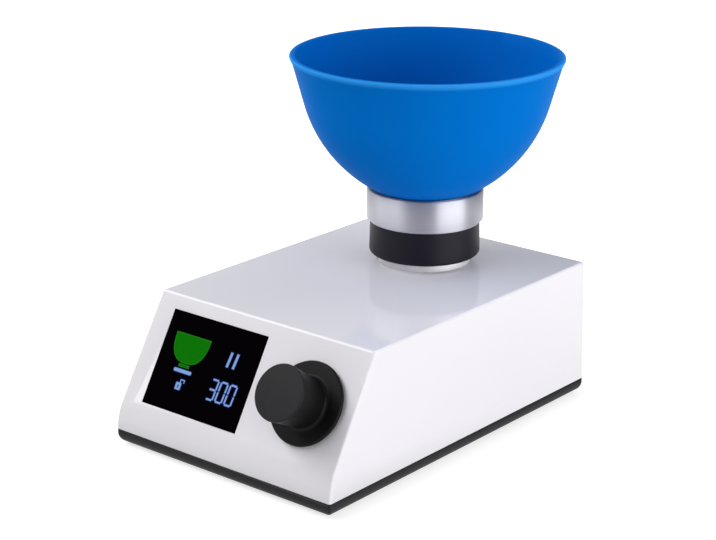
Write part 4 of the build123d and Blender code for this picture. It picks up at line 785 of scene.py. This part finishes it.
where = silicone.node("ShaderNodeTexCoord", output="Object")
facing = silicone.node("ShaderNodeTexCoord", output="Normal")
from_axis = silicone.node(
    "ShaderNodeVectorMath",
    {"operation": "SUBTRACT"},
    {0: where, 1: (bowl_axis.x, bowl_axis.y, 0)},
)
level = silicone.node(
    "ShaderNodeVectorMath", {"operation": "MULTIPLY"}, {0: from_axis, 1: (1, 1, 0)}
)
outward = silicone.dot(level, facing)
inside_shade_mask = silicone.ease(outward, *INSIDE_SHADE_FROM_TO)
# Painted shade: the inside wall takes the deeper blue srgb(0, 101, 192).
wall_with_painted_shade = silicone.tint(inside_shade_mask, outside, srgb(0, 101, 192))
height = silicone.node("ShaderNodeSeparateXYZ", inputs={0: where}, output="Z")
# Painted highlight: the upward outer edge of the lip is drawn paler blue, srgb(48, 150, 234).
lip_highlight = silicone.ease(height, *LIP_HIGHLIGHT_BAND, high=LIP_HIGHLIGHT_STRENGTH)
rim_side = silicone.ease(outward, *LIP_SIDE_FROM_TO)
silicone.set(Base_Color=silicone.tint(lip_highlight * rim_side, wall_with_painted_shade, srgb(48, 150, 234)))
dust = silicone.noise(scale=1100, detail=2)
silicone.set(Roughness=0.44 + dust * 0.12, Normal=silicone.bump(dust, depth=0.005 * MM))
smoothed("mixing_bowl", "bowl", silicone, turned=True)
print("bowl's axis, mm:", [round(c / MM, 2) for c in bowl_axis[:2]])

# %% [markdown]
# ## Everything else
#
# Screws, bearings, motor, belt, boards and wiring sit inside the casing or under it. Each could
# have a mesh of its own here, but the CAD solids already show what they are when the cover
# comes off. So these nodes keep their meshes, and a table gives every kind of material a
# finish with specks of its own size: fine on plated steel, coarse on a circuit board.

# %% Plain finishes
PLAIN = {
    "zinc_steel": (700, 2, (165, 165, 168), (205, 205, 208), 0.32, 1.0),
    "black_plastic": (900, 2, (26, 26, 27), (38, 38, 39), 0.45, 0.0),
    "circuit_board": (300, 4, (10, 70, 36), (24, 110, 62), 0.35, 0.0),
    "copper_wire": (900, 2, (150, 78, 40), (205, 120, 70), 0.35, 0.9),
    "capacitor_sleeve": (200, 2, (22, 30, 66), (30, 40, 84), 0.25, 0.0),
    "wire_insulation": (200, 2, (120, 18, 16), (150, 28, 24), 0.4, 0.0),
    "terminal_plastic": (300, 2, (20, 96, 50), (30, 120, 66), 0.4, 0.0),
}
plain = {}
for name, (scale, detail, dark, light, roughness, metallic) in PLAIN.items():
    plain[name], _ = speckled(
        name, scale, detail, dark, light, Roughness=roughness, Metallic=metallic
    )

FINISH_BY_SLOT = {
    "steel": plain["zinc_steel"],
    "plain_aluminium": aluminium,
    "spun_aluminium": aluminium,
    "bearing_steel": plain["zinc_steel"],
    "bronze": plain["copper_wire"],
    "copper": plain["copper_wire"],
    "board_green": plain["circuit_board"],
    "capacitor_sleeve": plain["capacitor_sleeve"],
    "lead_red": plain["wire_insulation"],
    "terminal_green": plain["terminal_plastic"],
    "tinned_brass": plain["zinc_steel"],
    "seal_rubber": rubber,
    "belt_rubber": rubber,
    "gasket_foam": rubber,
}
carried_over = [node for node, piece in nodes.items() if not piece.hide_render]
for node in carried_over:
    finish = FINISH_BY_SLOT.get(slot_of[node], plain["black_plastic"])
    nodes[node].data.materials.clear()
    nodes[node].data.materials.append(finish.material)
print("nodes that keep their own mesh:", len(carried_over))

# %% [markdown]
# ## Colours as written
#
# The Standard view shows a colour as it is set.

# %% Finishing
bpy.context.scene.view_settings.view_transform = "Standard"
